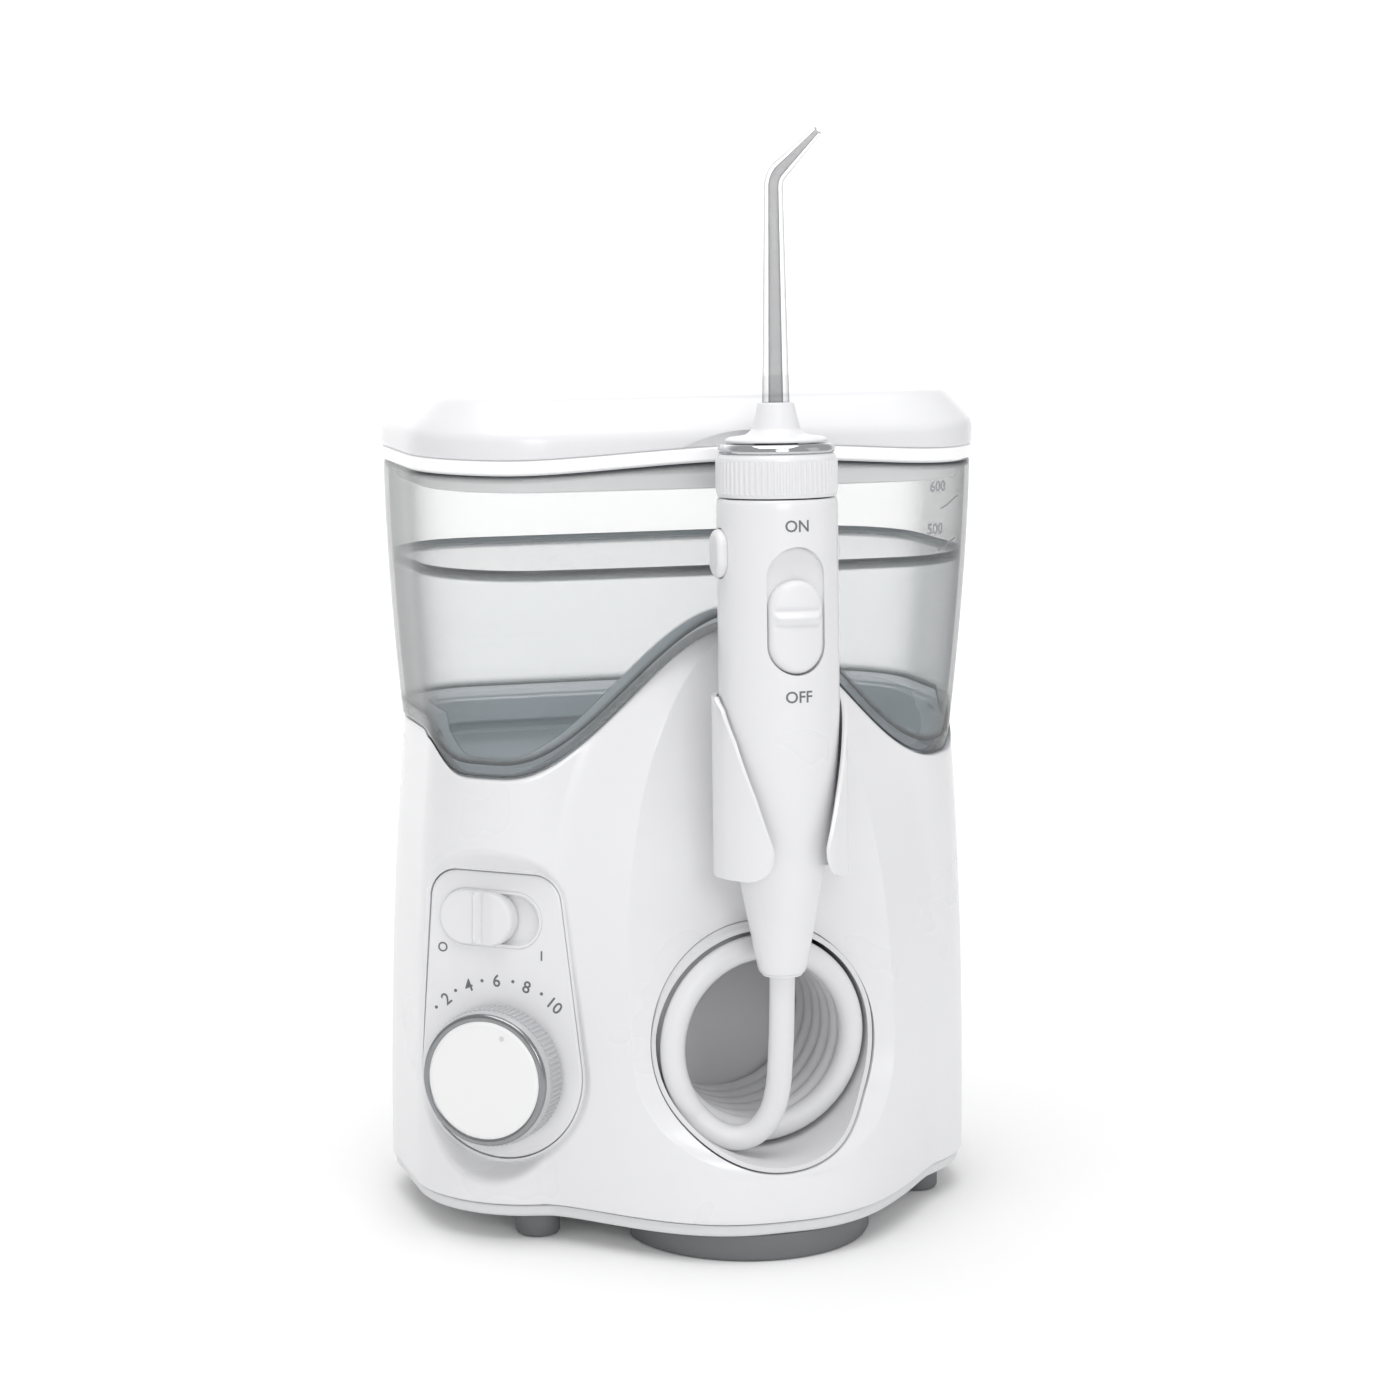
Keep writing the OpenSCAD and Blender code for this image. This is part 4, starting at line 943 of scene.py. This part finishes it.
# The floor of the tub and the ledge round it are finely textured and matt, and given a painted glow
# that brightens them where the lid leaves them in shade.
glowing_frost = moulded("tub_frost_painted_glow", (0.58, 0.64, 0.68), rough=0.5, peel=0.15, peel_scale=500.0)
glowing_frost_look = glowing_frost.node_tree.nodes["Principled BSDF"]
glowing_frost_look.inputs["Alpha"].default_value = 0.55
# Painted glow: this emission lights the tub, which lies in shade under the lid.
glowing_frost_look.inputs["Emission Color"].default_value = (0.58, 0.64, 0.68, 1)
glowing_frost_look.inputs["Emission Strength"].default_value = 0.22
tank.data.materials.append(glowing_frost)
for face in tank.data.polygons[tub_faces:]:
    face.material_index = 1

# The water is drawn at about two thirds full. It clings to the walls with a small meniscus, and the
# light that it bends shows as a dark line round its top and along the back of its floor.
water_z = 150.0
water_ledge = well_ring(tank_cols, inner_edge[:, 2] + 0.3, 9.9)
behind = np.where(water_ledge[:, 1] > 30, 1.0, 0.0)
floor_z = tub_z + 3.5
rings, thick = [], []
for inset, lift, share, value in ((10.6, 0.0, 0.0, 0.3), (9.9, 0.6, 0.2, 0.65), (9.9, 2.2, 0.5, 0.9),
                                  (9.9, 3.0, 0.7, 0)):
    height = floor_z + np.minimum(lift, share * (water_ledge[:, 2] - floor_z))
    rings.append(well_ring(tank_cols, height, inset))
    thick.append(value * behind)
rings += [water_ledge, wave_ring(tank_cols, clear_wall + 0.2, -deck_gap - wall - 0.3, tank_ring)]
for t in np.linspace(0.03, 1, 16):
    height = water_ledge[:, 2] * (1 - t) + (water_z - 1.4) * t
    rings.append(tank_ring(tank_cols, height, clear_wall + 0.15))
thick += [np.zeros(n_cols)] * (len(rings) - len(thick))
for inset, lift, value in ((0.15, -0.9, 0.85), (0.15, 0.2, 1), (0.15, 1.0, 0.95), (0.35, 1.3, 0.8),
                           (0.8, 0.8, 0.6), (1.6, 0.3, 0.4), (3, 0.05, 0.28), (17, 0.0, 0.16)):
    rings.append(tank_ring(tank_cols, water_z + lift, clear_wall + inset))
    thick.append(np.full(n_cols, value))
water_clear = clear_finish("water_clear", (0.58, 0.71, 0.77), (0.035, 0.04, 0.045), 0.12, 0.8, 0.10)
water = made("water", *skin(rings), water_clear, "tank", angle=40)
thickened(water, thick)


def on_tank(at_x, z):
    """Puts flat level marks on the tank's right front corner: x runs round the wall, y up it."""
    cols = columns([400, 20, 400, 200, 6, 10, 20, 10, 6, 14])
    keep = (cols[0] == 2) | (cols[0] == 3)

    def put(xy, height):
        ring = tank_ring(cols, z, -height)[keep]
        s = distance_along(ring[:, :2])
        at = np.interp(at_x, ring[:, 0], s) + xy[:, 0]
        return np.column_stack([np.interp(at, s, ring[:, 0]), np.interp(at, s, ring[:, 1]), z + xy[:, 1]])
    return put


tick = np.column_stack([np.linspace(-3.6, 3.6, 18), 1.1 * np.sin(np.linspace(-1.5, 1.7, 18))])
tick_edge = np.vstack([tick + [0, 0.16], tick[::-1] - [0, 0.16]])
level_marks = [written("level", "600", 3.4, on_tank(50.5, 166.8), 0.03),
               written("level", "500", 3.4, on_tank(50.0, 157.2), 0.03)]
level_marks += [flat_shape(tick_edge, on_tank(x, z), 0.03) for x, z in ((54.5, 163.0), (54.0, 153.4))]
printed("level_print", level_marks, moulded("level_grey", (0.30, 0.31, 0.33), rough=0.5), "tank")

# ---------------------------------------------------------------- lid
# The lid is a shallow tray that plugs the tank, with a hollow cover hinged on its back edge; spare
# tips lie between them. The cover's top is bevelled all round, with a finger notch in front.
tray_h, lid_over, lid_h = 3.2, 0.4, 17.0
lid_cols = columns([30, 26, 30, 16, 6, 12, 20, 12, 6, 16])
lid_white = moulded("lid_white", (0.80, 0.80, 0.815), rough=0.3, coat=0.2)


def lid_stack(levels):
    """Rings from (inset, height above the tank's rim, whether the ring follows the lid's wave)."""
    rings = []
    for inset, height, waved in levels:
        ring = lidded(lid_cols, inset, rim_z + height)
        if not waved:
            ring[:, 2] = rim_z + height
        rings.append(ring)
    return rings


tray_floor = seam_rise + 0.6
tray_white_painted_glow = moulded("tray_white_painted_glow", (0.82, 0.82, 0.83), rough=0.4)
tray_glow_look = tray_white_painted_glow.node_tree.nodes["Principled BSDF"]
# Painted glow: this emission brightens the tray's skirt, which is seen in shade through the tank.
tray_glow_look.inputs["Emission Color"].default_value = (1, 1, 1, 1)
tray_glow_look.inputs["Emission Strength"].default_value = 0.22
tray_levels = [(5.6, tray_floor, 0), (5.0, tray_floor + 0.3, 0), (5.0, tray_h - 0.1, 1), (4.8, tray_h, 1),
               (-0.1, tray_h, 1), (-lid_over, tray_h - 0.3, 1), (-lid_over, 0.7, 1), (-0.1, 0.4, 1),
               (3.2, 0.4, 1), (3.2, -3.6, 0), (3.6, -4, 0), (4.4, -4, 0), (4.8, -3.6, 0), (4.8, 1.2, 0),
               (5.6, 1.6, 0)]
made("tray", *skin(lid_stack(tray_levels)), tray_white_painted_glow, "lid", "lid_tray")
low = tray_h + 0.3
inside = [(24, lid_h - 3.4, 0), (11.5, lid_h - 3.3, 0), (9.2, lid_h - 3.9, 0), (2.2, lid_h - 9.2, 0),
          (1.8, lid_h - 10, 0), (1.8, low + 0.2, 1), (1.6, low, 1), (-0.1, low, 1)]
side = [(-lid_over, low + 0.3, 1), (-lid_over, low + 1.2, 1), (-lid_over, lid_h - 9.6, 0),
        (-0.25, lid_h - 8.9, 0), (0.0, lid_h - 8.2, 0), (0.4, lid_h - 7.5, 0)]
bevel = [(2.4, lid_h - 5.2, 0), (4.2, lid_h - 3.2, 0), (5.6, lid_h - 1.75, 0), (6.2, lid_h - 1.25, 0),
         (6.9, lid_h - 0.9, 0), (8.0, lid_h - 0.65, 0), (11, lid_h - 0.4, 0), (16, lid_h - 0.2, 0),
         (20, lid_h - 0.08, 0), (24, lid_h, 0)]
cover = made("cover", *skin(lid_stack(inside + side + bevel)), lid_white, "lid_cover", "storage_cover",
             angle=32)
carved(cover, rod((centre_x, front_y - 1.9, rim_z - 26), (0, -1, 0), 35, 12, 240))


def finished(finish, *names):
    """Gives CAD nodes that keep their built shape a finish of their own."""
    for name in names:
        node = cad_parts[name]
        node.data.materials.clear()
        node.data.materials.append(finish)


steel = moulded("pin_steel", (0.42, 0.42, 0.43), rough=0.3, metallic=1.0, peel=0.1, peel_scale=300.0)
finished(steel, "hinge_pins")
hinge_y, hinge_z, hinge_r, hinge_x, knuckle_half = back_y + 0.8, rim_z + tray_h + 0.4, 2.2, 38.0, 2.5
knuckle = rounded([(0.85, -knuckle_half), (hinge_r, -knuckle_half), (hinge_r, knuckle_half),
                   (0.85, knuckle_half)], 0.3)
points, faces = lathe(knuckle, 32)
for body, offsets in (("lid", (0,)), ("lid_cover", (-5.4, 5.4))):
    knuckles = []
    for x in (-hinge_x, hinge_x):
        for off in offsets:
            place = Matrix.Translation((x + off, hinge_y, hinge_z)) @ Matrix.Rotation(math.pi / 2, 4, "Y")
            knuckles.append((moved(points, place), faces))
    printed(f"{body}_knuckles", knuckles, lid_white, body)

# ---------------------------------------------------------------- handle
# A white tube that tapers to its nose. Its front has an obround recess with the water switch, its
# left side the button that lets the tip go, and ON and OFF are printed above and below the recess.
recess_mid, recess_l, recess_w, recess_floor = 80.0, 27.4, 13.0, 10.4
slide_l, button_mid = 20.0, 92.0
front_face = handle_place @ Matrix.Rotation(math.pi / 2, 4, "X")


def grip(z):
    return nose_r + (grip_r - nose_r) * np.sin(np.pi / 2 * np.minimum(z, taper_l) / taper_l)


outside = [(nose_r - 1.0, 0.0), (nose_r - 0.25, 0.1), (nose_r, 0.45)]
outside += [(grip(z), z) for z in np.linspace(1.2, taper_l, 46)]
outside += [(grip_r, z) for z in np.linspace(65, 102.6, 24)]
outside += [(grip_r - 0.12, 103.2), (grip_r - 0.45, grip_l)]
inside = [(grip_r - 2, grip_l), (grip_r - 2, 64)] + [(grip(z) - 2, z) for z in np.linspace(60, 8, 14)]
inside += [(nose_r - 1.6, 6), (nose_r - 1.6, 0)]
handle = made("grip", *lathe(outside + inside, 144), white_shell, "handle", "handle_shell",
              place=handle_place)
half_run = (recess_l - recess_w) / 2
recess = [(0, recess_mid - half_run, recess_w / 2), (0, recess_mid + half_run, recess_w / 2)]
button_side = handle_place @ Matrix.Translation((0, 0, button_mid)) @ Matrix.Rotation(-math.pi / 2, 4, "Y")
carved(handle, prism(recess, 0, recess_floor, 20, front_face),
       prism([(-1.7, 0, 3.8), (1.7, 0, 3.8)], 0, 6, 20, button_side))
floor_rings = slab_rings(recess, [(0.6, recess_floor - 1.4), (0.6, recess_floor - 0.02)])
made("recess_floor", *skin(floor_rings), white_satin, "handle", place=front_face)

slide_mid = recess_mid - (recess_l - slide_l) / 2 + 0.3


def slide_top(xy, k):
    x, s = xy[:, 0], xy[:, 1] - slide_mid
    crown = np.sqrt(13.5**2 - x**2) - 1.5 * (1 - rounding((1 - k) / 0.16)) - 0.35 * (s / 10) ** 2
    bar = smooth((5.6 - np.abs(x)) / 1.2)
    return crown + bar * (0.75 * np.exp(-(((s - 2.0) / 0.75) ** 2)) - 0.4 * np.exp(-(((s - 3.6) / 0.5) ** 2))
                          - 0.4 * np.exp(-(((s - 0.4) / 0.5) ** 2)))


run = (slide_l - recess_w + 0.7) / 2
slide_discs = [(0, slide_mid + k * run, recess_w / 2 - 0.35) for k in (-1, 1)]
made("water_switch", *pillow(slide_discs, slide_top, recess_floor + 0.15, 60), white_satin,
     "flow_slider", "flow_switch", angle=60, place=front_face)


def button_top(xy, k):
    return np.full(len(xy), grip_r + 1.55 - 1.1 * (1 - rounding((1 - k) / 0.3)))


made("tip_button_cap", *pillow([(-1.7, 0, 3.5), (1.7, 0, 3.5)], button_top, grip_r - 1.3, 20), white_satin,
     "tip_button", "eject_button", angle=60, place=button_side)


def round_grip(at_z):
    def put(xy, height):
        a = xy[:, 0] / grip_r
        r = grip_r + height
        return moved(np.column_stack([r * np.sin(a), -r * np.cos(a), at_z + xy[:, 1]]), handle_place)
    return put


signs = [written("sign", "ON", 3.5, round_grip(98.0)), written("sign", "OFF", 3.5, round_grip(61.6))]
printed("grip_print", signs, print_grey, "handle")
nose = rounded([(1.2, -0.6), (nose_r - 0.7, -0.6), (nose_r - 0.7, 0.0), (nose_r - 1.7, 0.4),
                (nose_r - 1.7, 5.8), (1.2, 5.8)], 0.3)
made("nose_ring", *lathe(nose, 64), white_satin, "handle", "nose_fitting", place=handle_place)

# ---------------------------------------------------------------- tip collar
# The collar turns the tip. It is ribbed all round, and a polished chrome ring sits on top of it.
collar_l, collar_bore = 9.4, 5.2
collar_place = handle_place @ Matrix.Translation((0, 0, grip_l + 0.3))
sleeve = rounded([(collar_bore, 0), (grip_r - 0.25, 0), (grip_r - 0.25, collar_l - 1.0),
                  (grip_r - 0.9, collar_l), (collar_bore, collar_l)], 0.4)
made("collar_sleeve", *lathe(sleeve, 144), white_shell, "collar", "tip_collar", place=collar_place)
rib_ring("collar_ribs", 62, grip_r - 0.36, 0.44, collar_l - 2.4,
         collar_place @ Matrix.Translation((0, 0, collar_l / 2 - 0.35)), white_shell, "collar")
chrome = moulded("chrome", (0.62, 0.63, 0.65), rough=0.09, metallic=1.0, peel=0.0, drift=0.0)
band = rounded([(collar_bore, 0), (12.4, 0), (12.6, 0.5), (12.5, 1.3), (11.9, 2), (collar_bore, 2)], 0.35)
made("chrome_band", *lathe(band, 144), chrome, "collar", "chrome_ring",
     place=collar_place @ Matrix.Translation((0, 0, collar_l)))

# ---------------------------------------------------------------- jet tip
# A white hub with a flared neck plugs into the handle. It holds a clear tapered tube that bends to
# one side at its end, with the fine bore showing inside it.
tip_place = handle_place @ Matrix.Translation((0, 0, grip_l + collar_l + 2.6))
hub = rounded([(0, -12), (4.6, -12), (4.6, 0), (11.0, 0), (11.0, 0.5), (10.3, 1.0), (6.6, 1.5), (5.3, 2.6),
               (4.6, 5.2), (3.9, 8.4), (3.1, 8.4), (3.1, 2), (0, 2)], 0.5, 6)
made("tip_neck", *lathe(hub, 96), white_satin, "tip", "tip_hub", angle=40, place=tip_place)
bend_r, bend, bend_from, end_l, jet_sides = 5.0, math.radians(46), 53.0, 12.0, 40
straight = [(0, 0, z) for z in np.r_[1.6, np.linspace(7.4, bend_from, 40)]]
arc = [(bend_r * (1 - math.cos(a)), 0, bend_from + bend_r * math.sin(a))
       for a in np.linspace(0, bend, 16)[1:]]
end = [(arc[-1][0] + math.sin(bend) * s, 0, arc[-1][2] + math.cos(bend) * s)
       for s in np.linspace(0.8, end_l, 16)]
jet_line = np.array(straight + arc + end)
n_s, n_a, n_e = len(straight), len(arc), len(end)
jet_r = np.r_[2.85, np.linspace(2.95, 2.05, n_s - 1), np.full(n_a, 2.05), np.linspace(2.0, 1.05, n_e)]
bore_r = np.r_[np.linspace(1.6, 1.1, n_s), np.full(n_a, 1.1), np.linspace(1.05, 0.5, n_e)]
outer, inner = tube(jet_line, jet_r, jet_sides), tube(jet_line, bore_r, jet_sides)
tip_clear = clear_finish("tip_clear", (0.36, 0.37, 0.38), (0.10, 0.10, 0.11), 0.10, 0.30, 1.1)
jet = made("jet_tube", *skin(outer + inner[::-1] + outer[:1], close=False), tip_clear, "tip", "jet_tip",
           angle=60, place=tip_place @ Matrix.Translation((0, 0, 1)))
# Painted shade: the bore's inner skin is drawn dark, for the light that the clear tube bends round it.
thickened(jet, [np.zeros(jet_sides * len(outer)), np.ones(jet_sides * len(inner))])

# ---------------------------------------------------------------- inside the housing
# The motor, gears, yoke, pump, tubes and board are only seen when the flosser is taken apart. They
# keep their built shapes and get the finishes such parts have.
finished(steel, "motor", "regulator_spindle", "button_spring", "housing_screws")
finished(moulded("light_grey_abs", (0.52, 0.53, 0.55), rough=0.42, peel=0.05), "motor_bracket", "pump_head",
         "regulator_body", "handle_valve", "hose_fitting", "reservoir_valve")
finished(moulded("nylon", (0.66, 0.64, 0.58), rough=0.45, peel=0.08), "pump_body", "piston", "crank_gear")
finished(moulded("dark_abs", (0.035, 0.035, 0.04), rough=0.45, peel=0.1), "power_supply", "switch_module")
finished(moulded("black_rubber", (0.02, 0.02, 0.02), rough=0.6, peel=0.3, peel_scale=400.0),
         "inlet_seal", "tip_seal", "piston_seal", "cord_gland")
finished(moulded("brass", (0.62, 0.45, 0.18), rough=0.3, metallic=1.0, peel=0.1), "motor_pinion")
finished(moulded("board_green", (0.02, 0.12, 0.06), rough=0.4, peel=0.1), "circuit_board")
finished(moulded("milky_tube", (0.66, 0.68, 0.70), rough=0.4, peel=0.05), "inlet_tube", "outlet_tube")
